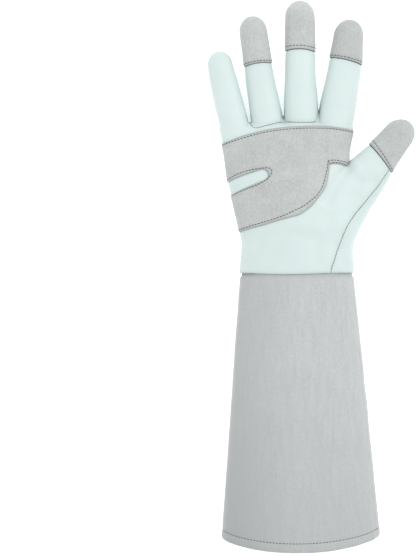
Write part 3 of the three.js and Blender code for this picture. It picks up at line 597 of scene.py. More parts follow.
class Hand:
    """The glove's hand: its soft form, and the outlines of the leather pieces cut from it."""

    def __init__(self, sizes):
        self.sizes = sizes
        self.origin = np.array([(CUFF_BOX[0].x + CUFF_BOX[1].x) / 2 - CUFF_LEAN, WRIST])
        self.digits = {name: Digit(self, name) for name in DIGIT_PATHS}

    def plan(self, rows):
        """Shares across and up as places seen from above."""
        return self.origin + np.asarray(rows, float) * [self.sizes.palm_width, HAND_LENGTH]

    def forks(self):
        """The points between the fingers, and the one beside the thumb."""
        return self.plan([*(place for _, _, place in FORKS.values()), THUMB_FORK])

    def seam_height(self, y):
        """The side seam's height above the table."""
        up = (y - WRIST) / HAND_LENGTH
        rows, heights = np.transpose(SIDE_SEAM)
        return self.sizes.palm_height * soft_values(up, rows, heights, SIDE_SEAM_SOFT)

    def palm_field(self, x, y, z, seam):
        """Near enough the distance to the hand without its fingers."""
        up = (y - WRIST) / HAND_LENGTH
        rows_up, *columns = np.transpose(HAND_SECTIONS)
        left, right, top, bottom = (
            soft_values(up, rows_up, column, SECTIONS_SOFT) for column in columns
        )
        width = self.sizes.palm_width
        height = self.sizes.palm_height
        middle = self.origin[0] + (left + right) / 2 * width
        low = bottom * height - TABLE_PRESS
        past = y - (WRIST + rows_up[-1] * HAND_LENGTH) + PALM_CAP
        rise = np.where(z > seam[..., None], (top * height - seam)[..., None],
                        (seam - low)[..., None])
        return section_field((x - middle)[..., None], z - seam[..., None], past[..., None],
                             ((right - left) / 2 * width)[..., None], rise, PALM_CAP)

    def form(self):
        """The hand's surface as points and triangles, drawn through a grid of distances."""
        low = np.array([PALM_BOX[0].x, WRIST, 0]) - GRID_MARGIN
        high = np.array([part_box("thumb_tip")[1].x, WRIST + HAND_LENGTH,
                         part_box("palm_patch")[1].z]) + GRID_MARGIN
        x, y, z = (np.arange(a, b, VOXEL) for a, b in zip(low, high))
        x, y = np.meshgrid(x, y, indexing="ij")
        seam = self.seam_height(y)
        fingers = functools.reduce(
            lambda a, b: soft_union(a, b, FORK_BLEND),
            (digit.field(x, y, z, seam) for digit in self.digits.values()),
        )
        blend = np.full(x.shape, ROOT_BLEND)
        for fork in self.forks():
            near = np.exp(-((x - fork[0]) ** 2 + (y - fork[1]) ** 2) / FORK_REACH**2)
            blend -= (ROOT_BLEND - FORK_BLEND) * near
        blend = np.maximum(blend, FORK_BLEND)[..., None]
        whole = soft_union(self.palm_field(x, y, z, seam), fingers, blend)
        grid = openvdb.FloatGrid(1.0)
        grid.copyFromArray(whole.astype(np.float32))
        places, quads = grid.convertToQuads()
        faces = np.concatenate([quads[:, [0, 1, 2]], quads[:, [0, 2, 3]]]).astype(int)
        return low + places.astype(float) * VOXEL, faces

    def leather(self):
        """The hand's finished outer surface: soft, creased, gathered and pressed flat below."""
        points, faces = self.form()
        points = relaxed(points, faces)
        faces, normals = facing_out(points, faces, point_normals(points, faces))
        relief = self.folds(points, normals) + self.gathers(points, normals)
        points = points + normals * relief[:, None]
        points[:, 2] = pressed_flat(points[:, 2])
        return points, faces

    def edge_sag(self, x):
        """How far the white leather's lower edge hangs below the wrist line."""
        side = (x - self.origin[0]) / self.sizes.palm_width - EDGE_SAG_ACROSS
        return EDGE_SAG * falloff(side, EDGE_SAG_WIDTH)

    def folds(self, points, normals):
        """Soft dents all over, and the creases that the leather keeps at its bends."""
        depth = self.sizes.dent_depth
        relief = depth * soft_noise(points, *WIDE_DENTS)
        relief += SMALL_DENT_DEPTH * depth * soft_noise(points, *SMALL_DENTS)
        top = facing_up(normals, CREASES_FADE)
        for rows, depth, width in CREASES:
            away = reach_from_line(smooth_line(self.plan(rows)), points[:, :2]) / (width * MM)
            rim = CREASE_RIM * falloff(away - CREASE_RIM_AWAY, 1)
            relief -= top * depth * MM * (falloff(away, 1) - rim)
        return relief

    def gathers(self, points, normals):
        """Elastic sewn across the back of the wrist draws the leather into small pleats."""
        up = (points[:, 1] - WRIST) / HAND_LENGTH
        low, high = SHIRRING_UP
        reach = np.exp(-np.maximum(np.maximum(low - up, up - high), 0) / PLEAT_FADE)
        across = (points[:, 0] - self.origin[0]) / self.sizes.palm_width
        left, right = SHIRRING_ACROSS
        within = np.clip(SHIRRING_END * (across - left), 0, 1)
        within *= np.clip(SHIRRING_END * (right - across), 0, 1)
        drift = PLEAT_DRIFT_WIDTH * soft_noise(points, *PLEAT_DRIFT)
        wave = np.cos(2 * math.pi * (points[:, 0] + drift) / PLEAT_WIDTH)
        stitched = (up > low) & (up < high)
        pulled = np.where(stitched, PLEAT_STITCHED, 1.0) * self.sizes.pleat_depth * wave
        return facing_up(normals, PLEATS_FADE) * reach * within * pulled

    def outlines(self):
        """Every closed outline that a piece is cut to, seen from above."""
        seam = smooth_line(FINGER_FRONT_SEAM)
        fork = LINE_STEPS * FRONT_SEAM_FORK
        lower = {
            "ring_front": [*seam[: fork + 1], *GAP_RING_MIDDLE, *GAP_LITTLE_RING[::-1]],
            "middle_front": [*seam[fork:], *GAP_MIDDLE_INDEX, *GAP_RING_MIDDLE[::-1]],
            "palm_patch": [*smooth_line(PATCH_TOP), *PATCH_NOTCH, *smooth_line(PATCH_BOTTOM)],
            "thumb_palm": self.out_to_the_right(smooth_line(THUMB_PALM_SEAM)),
            "thumb_back": self.out_to_the_right(smooth_line(THUMB_BACK_SEAM)),
        }
        found = {name: self.plan(rows) for name, rows in lower.items()}
        found.update({name: self.fork_outline(*fork) for name, fork in FORKS.items()})
        found["thumb_strip"] = self.thumb_strip_outline()
        found.update({f"{name}_tip": self.tip_outline(name) for name in TIP_EDGES})
        found["slot"] = self.slot_outline()
        return found

    @staticmethod
    def out_to_the_right(rows):
        """Closes a line to an outline of all that lies to its right."""
        return [*rows, (FAR_RIGHT, rows[-1][1]), (FAR_RIGHT, rows[0][1])]

    def cover(self, share):
        """How far out a finger's back piece reaches: a share of the half width, and a length."""
        near = np.clip((share - BACK_WIDENS) / (1 - BACK_WIDENS), 0, 1)
        return BACK_COVER + (1 - BACK_COVER) * near**BACK_WIDENING, near * BACK_PAST

    def fork_outline(self, left, right, fork):
        """A strip's outline: down one finger's side, round under the fork and up the other's."""
        fork = self.plan(fork)
        shares = np.linspace(1, 0, OUTLINE_POINTS)
        inside, past = self.cover(shares)
        sides = []
        for name, side in ((left, 1), (right, -1)):
            line = self.digits[name].edge(shares, side * inside, past)
            sides.append(line[line[:, 1] > fork[1]])
        low = fork[1] - FORK_DEPTH
        bottom = [(fork[0] - FORK_WIDTH / 2, low), (fork[0] + FORK_WIDTH / 2, low)]
        return np.array([*sides[0], *bottom, *sides[1][::-1]])

    def thumb_strip_outline(self):
        """The strip on the thumb's inner side, out to a little past the thumb's edge."""
        shares = np.linspace(THUMB_STRIP_FROM, 1, THUMB_STRIP_POINTS)
        inside, _ = self.cover(shares)
        thumb = self.digits["thumb"]
        inner = thumb.edge(shares, -inside)
        outer = thumb.edge(shares, -np.ones_like(shares), OUTLINE_MARGIN / 2)
        return np.array([*inner, *outer[::-1]])

    def tip_outline(self, name):
        """A fingertip's outline: its arched lower edge, and well outside the finger elsewhere."""
        digit = self.digits[name]
        sides = {}
        for side, share in zip((-1, 1), TIP_EDGES[name]):
            start = digit.from_end(self.sizes.tip_length * share)
            shares = np.linspace(start, 1, TIP_POINTS)
            sides[side] = digit.edge(shares, np.full(TIP_POINTS, side), OUTLINE_MARGIN)
        _, right, _ = digit.at(1.0)
        along = np.array([-right[1], right[0]]) * 2 * OUTLINE_MARGIN
        beyond = [sides[1][-1] + along, sides[-1][-1] + along]
        edge = arched(sides[-1][0], sides[1][0], TIP_EDGES[name][2] * MM)
        return np.array([*sides[1], *beyond, *sides[-1][::-1], *edge[1:-1]])

    def slot_outline(self):
        """A band round the slot's middle line, with one round end."""
        line = smooth_line(self.plan(SLOT_LINE), SLOT_STEPS)
        along = np.gradient(line, axis=0)
        along /= np.linalg.norm(along, axis=1, keepdims=True)
        right = np.column_stack([along[:, 1], -along[:, 0]])
        reach = np.linspace(SLOT_WIDTH, SLOT_MOUTH, len(line))[:, None] / 2
        turn = np.radians(SLOT_END_ANGLES)[:, None]
        end = line[0] + SLOT_WIDTH / 2 * (np.cos(turn) * right[0] - np.sin(turn) * along[0])
        return np.array([*(line + right * reach)[::-1], *end[::-1], *(line - right * reach)])

    def piece_fields(self, points):
        """For each leather piece, how far each point of the surface lies inside its outline."""
        plan = points[:, :2]
        reach = {name: reach_inside(line, plan) for name, line in self.outlines().items()}
        seam = self.seam_height(points[:, 1])
        up = points[:, 2] - seam
        strip_names = [*FORKS, "thumb_strip"]
        widened = STRIP_SLOPE * np.clip(points[:, 2], 0, seam)
        reach.update({name: reach[name] + widened for name in strip_names})
        tip_names = [f"{name}_tip" for name in TIP_EDGES]
        strips = np.max([reach[name] for name in strip_names], axis=0)
        tips = np.max([reach[name] for name in tip_names], axis=0)
        fronts = np.maximum(reach["ring_front"], reach["middle_front"])
        smallest = np.minimum.reduce
        below_tips = -tips - TIP_EDGE_GAP
        fields = {
            "palm_panel": smallest([up, -fronts, -reach["thumb_palm"], below_tips]),
            "ring_front": smallest([up, reach["ring_front"], below_tips]),
            "middle_front": smallest([up, reach["middle_front"], below_tips]),
            "back_panel": smallest([-up, -strips, -reach["thumb_back"]]),
            "palm_patch": smallest([up, reach["palm_patch"], -reach["slot"]]),
        }
        fields.update({name: smallest([-up, reach[name], below_tips]) for name in strip_names})
        sides = np.maximum(up, strips)
        fields.update({name: np.minimum(reach[name], sides) for name in tip_names})
        above = smallest([up, reach["thumb_palm"], below_tips])
        below = np.minimum(-up, reach["thumb_back"])
        round_the_side = smallest([reach["thumb_palm"], reach["thumb_back"], below_tips])
        wrapped = np.maximum.reduce([above, below, round_the_side])
        fields["thumb_back"] = np.minimum(wrapped, -strips)
        beyond_wrist = points[:, 1] - WRIST + self.edge_sag(points[:, 0])
        return {name: np.minimum(field, beyond_wrist) for name, field in fields.items()}


def clipped(points, faces, reach):
    """The part of a triangle mesh where reach is above zero, cut exactly along that line.

    Columns of points past the third are carried along.
    """
    inside = reach[faces] > 0
    count = inside.sum(1)
    whole = faces[count == 3]
    crossed = (count == 1) | (count == 2)
    cut, inside = faces[crossed], inside[crossed]
    single = inside.sum(1) == 1
    odd = np.where(single, inside.argmax(1), (~inside).argmax(1))
    a, b, c = np.take_along_axis(cut, (odd[:, None] + np.arange(3)) % 3, axis=1).T
    edges = np.sort(np.concatenate([np.column_stack([a, b]), np.column_stack([a, c])]), axis=1)
    edges, which = np.unique(edges, axis=0, return_inverse=True)
    here, there = reach[edges[:, 0]], reach[edges[:, 1]]
    share = (here / (here - there))[:, None]
    added = points[edges[:, 0]] * (1 - share) + points[edges[:, 1]] * share
    which = which.reshape(-1) + len(points)
    ab, ac = which[: len(a)], which[len(a):]
    corner = np.column_stack([a, ab, ac])[single]
    rest = ~single
    faces = np.concatenate([
        whole,
        corner,
        np.column_stack([ab, b, c])[rest],
        np.column_stack([ab, c, ac])[rest],
    ])
    used, faces = np.unique(faces, return_inverse=True)
    return np.concatenate([points, added])[used], faces.reshape(-1, 3)


def mesh_object(name, points, faces, material):
    """A smooth-shaded object at the origin. A fourth column of the points is its darkening, from
    wear and painted shade.
    """
    mesh = bpy.data.meshes.new(name)
    mesh.from_pydata(points[:, :3].tolist(), [], faces.tolist())
    mesh.shade_smooth()
    mesh.materials.append(material)
    if points.shape[1] > 3:
        darkening = mesh.attributes.new("wear_and_painted_shade", "FLOAT", "POINT")
        darkening.data.foreach_set("value", points[:, 3])
    made = bpy.data.objects.new(name, mesh)
    bpy.context.scene.collection.objects.link(made)
    return made


def walled(made, thickness):
    """Gives a skin its leather's thickness, inwards."""
    wall = made.modifiers.new("wall", "SOLIDIFY")
    wall.thickness = thickness
    wall.offset = -1


def placed(made, node=None):
    """Fixes a finished piece to the frame, in place of its plain solid if it has one."""
    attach(made, "root")
    if node:
        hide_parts(node)


@functools.lru_cache
def hand_skin():
    """The hand, its finished surface with its directions, and each piece's reach on it."""
    hand = Hand(bpy.context.scene.gauntlet_sizes)
    points, faces = hand.leather()
    normals = point_normals(points, faces)
    return hand, points, faces, normals, hand.piece_fields(points)


def thinned(lift, at_sides, normals):
    """A piece's height above the skin. Only the share at_sides of it is left on upright skin."""
    return lift * (at_sides + (1 - at_sides) * facing_up(normals, LIFT_FADES))


def wear_and_shade(name, sewn):
    """How much wear and painted shade a piece shows: dirt and painted shade along edges and seams,
    painted shadow at the patch and the wrist, darker paint at the palm's heel and thumb, and
    painted shade in the forks.
    """
    hand, points, _, _, fields = hand_skin()
    plan = points[:, :2]
    # Dirt and painted shade along every edge; a dark line at a sewn seam; painted shadow at a raw
    # edge's cut nap
    kinds = [(fields[name], SEAM_DIRT_AND_SHADE), (fields[name], SEAM_WEAR if sewn else RAW_EDGE_AND_SHADOW)]
    # Painted shadow on the palm, along the patch's edge
    if name == "palm_panel":
        kinds.append((fields["palm_patch"], PATCH_SHADE))
    # Painted shadow along the wrist, where the white leather laps over the cuff
    if sewn:
        kinds.append((plan[:, 1] - WRIST + hand.edge_sag(plan[:, 0]), WRIST_SEAM_SHADOW))
    found = sum(amount * falloff(away, width) for away, (amount, width) in kinds)
    # The palm's heel and the thumb side are painted darker
    if sewn:
        across, up = ((plan - hand.origin) / [hand.sizes.palm_width, HAND_LENGTH]).T
        heel = HEEL_FADE[0] - HEEL_FADE[1] * up
        thumb = THUMB_FADE[1] * (across - THUMB_FADE[0])
        found += HEEL_DARKENING * np.clip(np.maximum(heel, thumb), 0, 1)
    # Painted shade deep in the forks between the fingers
    amount, width = FORK_SHADE
    deep = np.clip(1 - points[:, 2] / FORK_SHADE_TOP, 0, 1)
    for fork in hand.forks():
        away = np.hypot(*(plan - fork - (0, FORK_SHADE_UP)).T)
        found += amount * deep * falloff(away, width)
    return found


def leather_piece(name, slot, lift, wall, grooves=(), at_sides=1.0, piece_darkening=0.0):
    """Cuts one piece out of the hand's skin, gives it its wall and fixes it to the frame.

    lift raises it above the skin. at_sides is the share of the lift that is left where the piece
    is sewn into the hand's side seam. piece_darkening is how much darker the whole piece is
    painted.
    """
    _, points, faces, normals, fields = hand_skin()
    sewn = slot == "goatskin"
    reach = fields[name]
    roll = SEAM_ROLL if sewn else EDGE_ROLL
    raised = thinned(lift, at_sides, normals) - roll * falloff(reach, ROLL_WIDTH)
    if grooves:
        near = reach > -GROOVE_REACH
        plan = points[near, :2]
        away = np.min([reach_from_line(line, plan) for line in grooves], axis=0)
        raised[near] -= STITCH_SINK * falloff(away, STITCH_GROOVE)
    lifted = points + normals * raised[:, None]
    lifted[:, 2] = np.maximum(lifted[:, 2], 0)
    darkening = piece_darkening + wear_and_shade(name, sewn)
    made, faces = clipped(np.column_stack([lifted, darkening]), faces, reach - SEAM_GAP / 2)
    piece = mesh_object(f"{name}_leather", made, faces, finishes()[slot])
    walled(piece, wall)
    placed(piece, name)


def linear(hex_colour):
    """An sRGB hex colour as the linear values that the shaders take."""
    parts = [int(hex_colour[i : i + 2], 16) / 255 for i in (1, 3, 5)]
    return [c / 12.92 if c <= 0.04045 else ((c + 0.055) / 1.055) ** 2.4 for c in parts]


def add_node(tree, kind, inputs=None, **settings):
    """Adds a node with its settings. inputs holds values, or the sockets that feed them."""
    node = tree.nodes.new(kind)
    for name, value in settings.items():
        setattr(node, name, value)
    for key, value in (inputs or {}).items():
        if isinstance(value, bpy.types.NodeSocket):
            tree.links.new(value, node.inputs[key])
        else:
            node.inputs[key].default_value = value
    return node


def new_material(name):
    """An empty material, the function that adds nodes to it, and its object coordinates."""
    material = bpy.data.materials.new(name)
    material.use_nodes = True
    material.node_tree.nodes.clear()
    add = functools.partial(add_node, material.node_tree)
    return material, add, add("ShaderNodeTexCoord").outputs["Object"]


def shade(colour, strength=1):
    """A colour made darker or lighter, with the full opacity that the shaders want."""
    return (*[min(1, strength * part) for part in colour], 1)


def set_ramp(ramp, *stops):
    """Sets the two ends of a colour ramp, each a position and a colour."""
    for element, (position, colour) in zip(ramp.elements, stops):
        element.position = position
        element.color = colour


def goatskin(colour):
    """Chrome-tanned goatskin, white and smooth: a tight pebbled grain under a thin satin finish,
    which breaks into fine creases, and a grey along its seams from dirt and painted shade, with
    painted shadow at the patch, the wrist and the forks."""
    material, add, places = new_material("Goatskin, white, smooth grain")
    # The hide takes the tan unevenly, in clouds of about 35 mm
    clouds = add("ShaderNodeTexNoise", {"Vector": places, "Scale": 1 / (35 * MM), "Detail": 3.0})
    tone = add("ShaderNodeValToRGB", {"Fac": clouds.outputs["Fac"]})
    set_ramp(tone.color_ramp, (0.3, shade(colour, 0.955)), (0.7, shade(colour)))
    # A faint grey along the seams from dirt and painted shade, painted shadow in the forks, at the
    # patch's edge and at the wrist, and darker paint on the heel and the thumb
    darkening_attribute = add("ShaderNodeAttribute", attribute_name="wear_and_painted_shade")
    faint = add("ShaderNodeMath", {0: darkening_attribute.outputs["Fac"], 1: 0.16}, operation="MULTIPLY")
    darkening = add("ShaderNodeMix", {
        "Factor": faint.outputs[0], "A": tone.outputs["Color"], "B": shade(linear("#a9b4b1")),
    }, data_type="RGBA")
    # The grain's pebbles are about 0.5 mm, drawn at 1.1 mm so that a near view shows them
    grain = add("ShaderNodeTexVoronoi", {
        "Vector": places, "Scale": 1 / (1.1 * MM), "Randomness": 0.9,
    }, feature="SMOOTH_F1")
    pores = add("ShaderNodeTexNoise", {
        "Vector": places, "Scale": 1 / (3 * MM), "Detail": 6.0, "Roughness": 0.6,
    })
    # Long shallow creases across the hide, 9 mm apart
    stretched = add("ShaderNodeMapping", {
        "Vector": places, "Rotation": (0, 0, 0.5), "Scale": (1, 0.35, 1),
    })
    creases = add("ShaderNodeTexNoise", {
        "Vector": stretched.outputs["Vector"], "Scale": 1 / (9 * MM), "Detail": 2.0,
        "Distortion": 0.8,
    })
    soft = add("ShaderNodeBump", {
        "Height": creases.outputs["Fac"], "Strength": 0.35, "Distance": 0.5 * MM,
    })
    fine = add("ShaderNodeBump", {
        "Height": pores.outputs["Fac"], "Strength": 0.25, "Distance": 0.12 * MM,
        "Normal": soft.outputs["Normal"],
    })
    pebbles = add("ShaderNodeBump", {
        "Height": grain.outputs["Distance"], "Strength": 0.35, "Distance": 0.1 * MM,
        "Normal": fine.outputs["Normal"],
    })
    gloss = add("ShaderNodeMapRange", {
        "Value": pores.outputs["Fac"], "To Min": 0.42, "To Max": 0.62,
    })
    shader = add("ShaderNodeBsdfPrincipled", {
        "Base Color": darkening.outputs["Result"], "Roughness": gloss.outputs["Result"],
        "Normal": pebbles.outputs["Normal"], "IOR": 1.45, "Specular IOR Level": 0.4,
        "Subsurface Weight": 0.04, "Subsurface Scale": 1.5 * MM,
    })
    add("ShaderNodeOutputMaterial", {"Surface": shader.outputs["BSDF"]})
    return material


def suede(name, colour, marks, lines):
    """Split suede, sanded to a short nap: quite matt, with a fibrous fuzz that lights up at its
    edges, and soft lighter and darker marks where the nap was brushed either way. lines is how
    much of that shows as faint lines along the hide instead of as clouds."""
    material, add, places = new_material(name)
    brushed = add("ShaderNodeTexNoise", {
        "Vector": places, "Scale": 1 / (22 * MM), "Detail": 3.0, "Roughness": 0.6,
        "Distortion": 0.6,
    })
    # The nap's fibres are under 0.1 mm, drawn as 2 mm flecks so that the render shows them
    flecks = add("ShaderNodeTexNoise", {
        "Vector": places, "Scale": 1 / (2.0 * MM), "Detail": 4.0, "Roughness": 0.75,
    })
    # Faint lines along the hide's length
    along = add("ShaderNodeMapping", {"Vector": places, "Scale": (1, 0.06, 1)})
    streaks = add("ShaderNodeTexNoise", {
        "Vector": along.outputs["Vector"], "Scale": 1 / (3 * MM), "Detail": 3.0,
    })
    patchy = add("ShaderNodeMix", {
        "Factor": lines, "A": brushed.outputs["Fac"], "B": streaks.outputs["Fac"],
    })
    mottled = add("ShaderNodeMix", {
        "Factor": 0.6, "A": patchy.outputs["Result"], "B": flecks.outputs["Fac"],
    })
    tone = add("ShaderNodeValToRGB", {"Fac": mottled.outputs["Result"]})
    set_ramp(tone.color_ramp, (0.4, shade(colour, 1 - marks)), (0.6, shade(colour, 1 + marks)))
    # Raw edges are darker, from the cut nap and painted shadow. Painted shade and shadow darken
    # the cuff, and some fingertips are painted darker all over
    darkening_attribute = add("ShaderNodeAttribute", attribute_name="wear_and_painted_shade")
    faint = add("ShaderNodeMath", {0: darkening_attribute.outputs["Fac"], 1: 0.25}, operation="MULTIPLY")
    darkening = add("ShaderNodeMix", {
        "Factor": faint.outputs[0], "A": tone.outputs["Color"], "B": shade(colour, 0.72),
    }, data_type="RGBA")
    cloudy = add("ShaderNodeBump", {
        "Height": patchy.outputs["Result"], "Strength": 0.3, "Distance": 0.5 * MM,
    })
    fuzz = add("ShaderNodeBump", {
        "Height": flecks.outputs["Fac"], "Strength": 0.6, "Distance": 0.2 * MM,
        "Normal": cloudy.outputs["Normal"],
    })
    shader = add("ShaderNodeBsdfPrincipled", {
        "Base Color": darkening.outputs["Result"], "Roughness": 0.95,
        "Normal": fuzz.outputs["Normal"], "IOR": 1.4, "Specular IOR Level": 0.15,
        "Sheen Weight": 0.3, "Sheen Roughness": 0.5,
    })
    add("ShaderNodeOutputMaterial", {"Surface": shader.outputs["BSDF"]})
    return material


def sewing_thread(colour):
    """Bonded polyester thread, spun and twisted: a dull sheen, with the plies' slanting shade."""
    material, add, places = new_material("Polyester thread, bonded")
    # Plies are 0.2 mm apart, drawn at 0.5 mm
    plies = add("ShaderNodeTexWave", {
        "Vector": places, "Scale": 0.05 / (0.5 * MM), "Distortion": 2.0,
    }, bands_direction="DIAGONAL")
    tone = add("ShaderNodeMix", {
        "Factor": plies.outputs["Fac"], "A": shade(colour, 0.8), "B": shade(colour),
    }, data_type="RGBA")
    twist = add("ShaderNodeBump", {
        "Height": plies.outputs["Fac"], "Strength": 0.4, "Distance": 0.1 * MM,
    })
    shader = add("ShaderNodeBsdfPrincipled", {
        "Base Color": tone.outputs["Result"], "Roughness": 0.55,
        "Normal": twist.outputs["Normal"], "Sheen Weight": 0.15,
    })
    add("ShaderNodeOutputMaterial", {"Surface": shader.outputs["BSDF"]})
    return material


def paper_sweep(colour):
    """Matt photographer's paper: an even pale tone with no gloss, lit a little from behind."""
    material, add, places = new_material("Background paper, matt")
    fibres = add("ShaderNodeTexNoise", {"Vector": places, "Scale": 1 / (60 * MM), "Detail": 2.0})
    tone = add("ShaderNodeMix", {
        "Factor": fibres.outputs["Fac"], "A": shade(colour, 0.99), "B": shade(colour),
    }, data_type="RGBA")
    shader = add("ShaderNodeBsdfPrincipled", {
        "Base Color": tone.outputs["Result"], "Roughness": 1.0, "Specular IOR Level": 0.0,
        "Emission Color": (1, 1, 1, 1), "Emission Strength": 0.45,
    })
    add("ShaderNodeOutputMaterial", {"Surface": shader.outputs["BSDF"]})
    return material


@functools.lru_cache
def finishes():
    """The materials, made once and shared by the pieces."""
    colours = bpy.context.scene.gauntlet_colours
    return {
        "goatskin": goatskin(colours.goatskin),
        "tip_suede": suede("Suede, grey, fingertips", colours.tip_suede, 0.1, 0.3),
        "patch_suede": suede("Suede, grey, palm patch", colours.patch_suede, 0.1, 0.25),
        "cuff_suede": suede("Suede, grey, cuff", colours.cuff_suede, 0.065, 0.75),
        "thread": sewing_thread(colours.thread),
    }


@functools.lru_cache
def stitch_tree():
    """Geometry Nodes for sewing: a row of thread stitches along every line of a mesh."""
    tree = bpy.data.node_groups.new("Sewn row", "GeometryNodeTree")
    add = functools.partial(add_node, tree)
    sockets = {"Lines": "Geometry", "Pitch": "Float", "Length": "Float", "Thread": "Float",
               "Finish": "Material"}
    for name, kind in sockets.items():
        tree.interface.new_socket(name, in_out="INPUT", socket_type=f"NodeSocket{kind}")
    tree.interface.new_socket("Stitches", in_out="OUTPUT", socket_type="NodeSocketGeometry")
    given = add("NodeGroupInput").outputs
    line = add("GeometryNodeMeshToCurve", {"Mesh": given["Lines"]})
    spots = add("GeometryNodeCurveToPoints", {
        "Curve": line.outputs["Curve"], "Length": given["Pitch"],
    }, mode="LENGTH")
    half = add("ShaderNodeMath", {0: given["Length"], 1: 0.5}, operation="MULTIPLY")
    size = add("ShaderNodeCombineXYZ", {
        "X": given["Thread"], "Y": given["Thread"], "Z": half.outputs[0],
    })
    bead = add("GeometryNodeMeshUVSphere", {"Segments": 6, "Rings": 5, "Radius": 1.0})
    stitch = add("GeometryNodeTransform", {
        "Geometry": bead.outputs["Mesh"], "Scale": size.outputs["Vector"],
    })
    rows = add("GeometryNodeInstanceOnPoints", {
        "Points": spots.outputs["Points"], "Instance": stitch.outputs["Geometry"],
        "Rotation": spots.outputs["Rotation"],
    })
    real = add("GeometryNodeRealizeInstances", {"Geometry": rows.outputs["Instances"]})
    smooth = add("GeometryNodeSetShadeSmooth", {"Geometry": real.outputs["Geometry"]})
    sewn = add("GeometryNodeSetMaterial", {
        "Geometry": smooth.outputs["Geometry"], "Material": given["Finish"],
    })
    add("NodeGroupOutput", {"Stitches": sewn.outputs["Geometry"]})
    return tree


def sewn_rows(name, lines):
    """Sews a row of stitches along each line of points, as one plain mesh."""
    pitch, length, thread = STITCHES[name]
    points = np.concatenate(lines)
    points[:, 2] = np.maximum(points[:, 2], thread / 2)
    starts = np.cumsum([0, *[len(line) for line in lines]])
    edges = [(i, i + 1) for a, b in zip(starts, starts[1:]) for i in range(a, b - 1)]
    mesh = bpy.data.meshes.new(f"{name}_lines")
    mesh.from_pydata(points.tolist(), edges, [])
    guide = bpy.data.objects.new(f"{name}_lines", mesh)
    bpy.context.scene.collection.objects.link(guide)
    sewing = guide.modifiers.new("sewing", "NODES")
    sewing.node_group = stitch_tree()
    values = {"Pitch": pitch, "Length": length, "Thread": thread, "Finish": finishes()["thread"]}
    for item in sewing.node_group.interface.items_tree:
        if item.name in values:
            sewing[item.identifier] = values[item.name]
    graph = bpy.context.evaluated_depsgraph_get()
    result = bpy.data.meshes.new_from_object(guide.evaluated_get(graph), depsgraph=graph)
    bpy.data.objects.remove(guide)
    made = bpy.data.objects.new(name, result)
    bpy.context.scene.collection.objects.link(made)
    placed(made)


class Cloth:
    """A surface that a row of stitches can be laid on, from above or from below."""

    def __init__(self, points, faces):
        self.tree = BVHTree.FromPolygons(points[:, :3].tolist(), faces.tolist())

    def laid(self, plan, lift=0.0, downwards=True):
        """Places seen from above, put on the surface and raised by lift. Misses are dropped."""
        start = RAY_START if downwards else -RAY_START
        way = Vector((0, 0, -1 if downwards else 1))
        found = []
        for x, y in plan:
            place, normal, _, _ = self.tree.ray_cast(Vector((x, y, start)), way)
            if place is not None:
                found.append(place + normal * lift)
        return found

    def across(self, line):
        """A line round a finger, over an arched line between two places at its sides."""
        middle = (line[0] + line[-1]) / 2
        arch = line[len(line) // 2] - middle
        side = Vector((*(line[-1] - line[0]), 0)).normalized()
        found = []
        for angle in np.radians(FINGER_ANGLES):
            out = side * math.cos(angle) + Vector((0, 0, math.sin(angle)))
            start = Vector((*(middle + arch * math.sin(angle) ** 2), FINGER_MIDDLE))
            place, _, _, _ = self.tree.ray_cast(start + FINGER_CLEAR * out, -out)
            if place is not None:
                found.append(place)
        return found


def spaced(line, step=LINE_SPACING):
    """A line's points, evenly spaced along it."""
    line = np.asarray(line, float)
    lengths = lengths_along(line)
    wanted = np.linspace(0, lengths[-1], max(2, int(lengths[-1] / step) + 1))
    return np.column_stack([np.interp(wanted, lengths, column) for column in line.T])


def cuff_rows(sizes):
    """Rows of the cuff's sheet, from inside the wrist to the hem and back up inside it."""
    wall = sizes.suede_wall
    lap_end, start = CUFF_BELOW_LAP
    downs = [*np.linspace(-CUFF_LAP, lap_end, LAP_ROWS),
             *np.linspace(start, CUFF_LENGTH - HEM_START * wall, CUFF_DOWN)]
    rows = [(down, 0.0) for down in downs]
    for turn in np.radians(HEM_ANGLES):
        down = CUFF_LENGTH - wall * (1 - math.sin(turn))
        rows.append((down, wall * (1 - math.cos(turn))))
    inside = np.linspace(CUFF_LENGTH - wall, CUFF_LENGTH - HEM_TURN, HEM_ROWS)
    return [*rows, *((down, 2 * wall) for down in inside)]


def bulged(v):
    """A sine or cosine as its superellipse has it."""
    return np.sign(v) * np.abs(v) ** (2 / SECTION_POWER)


def cuff_ring(hand, down, inset, turns):
    """One row of the cuff: a superellipse that widens from the wrist's section to the hem's."""
    sizes = hand.sizes
    share = np.clip(down / CUFF_LENGTH, 0, None)
    flare = np.interp(share, *np.transpose(CUFF_FLARE))
    tuck = WRIST_TUCK * (1 - np.clip((down - TUCK_END - EDGE_SAG) / TUCK_OUT, 0, 1))
    _, left, right, high, _ = HAND_SECTIONS[0]
    seam_share = SIDE_SEAM[0][1]
    half = (1 - flare) * ((right - left) / 2 * sizes.palm_width) + flare * sizes.hem_width / 2
    top = (1 - flare) * (high * sizes.palm_height) + flare * sizes.hem_height - tuck - inset
    seam = (1 - flare) * seam_share * sizes.palm_height + flare * sizes.hem_height / 2
    across = bulged(np.cos(turns)) * (half - tuck - inset)
    rise = np.where(np.sin(turns) > 0, top - seam, seam + TABLE_PRESS - inset - tuck)
    height = np.maximum(seam + bulged(np.sin(turns)) * rise, inset + tuck)
    side = across / half
    bend = HEM_SAG * side**2 + HEM_TILT * side + HEM_CORNER * side**HEM_CORNER_POWER
    shift = CUFF_OFFSET + (CUFF_LEAN - CUFF_OFFSET) * share
    return np.column_stack([hand.origin[0] + shift + across,
                            WRIST + bend * share**2 - down, height])


def even_turns(hand):
    """Angles round the cuff that space the points of its middle row evenly."""
    turns = np.linspace(0, 2 * math.pi, RING_SAMPLES)
    lengths = lengths_along(cuff_ring(hand, CUFF_LENGTH / 2, 0, turns))
    wanted = np.linspace(0, lengths[-1], CUFF_AROUND, endpoint=False)
    return np.interp(wanted, lengths, turns)


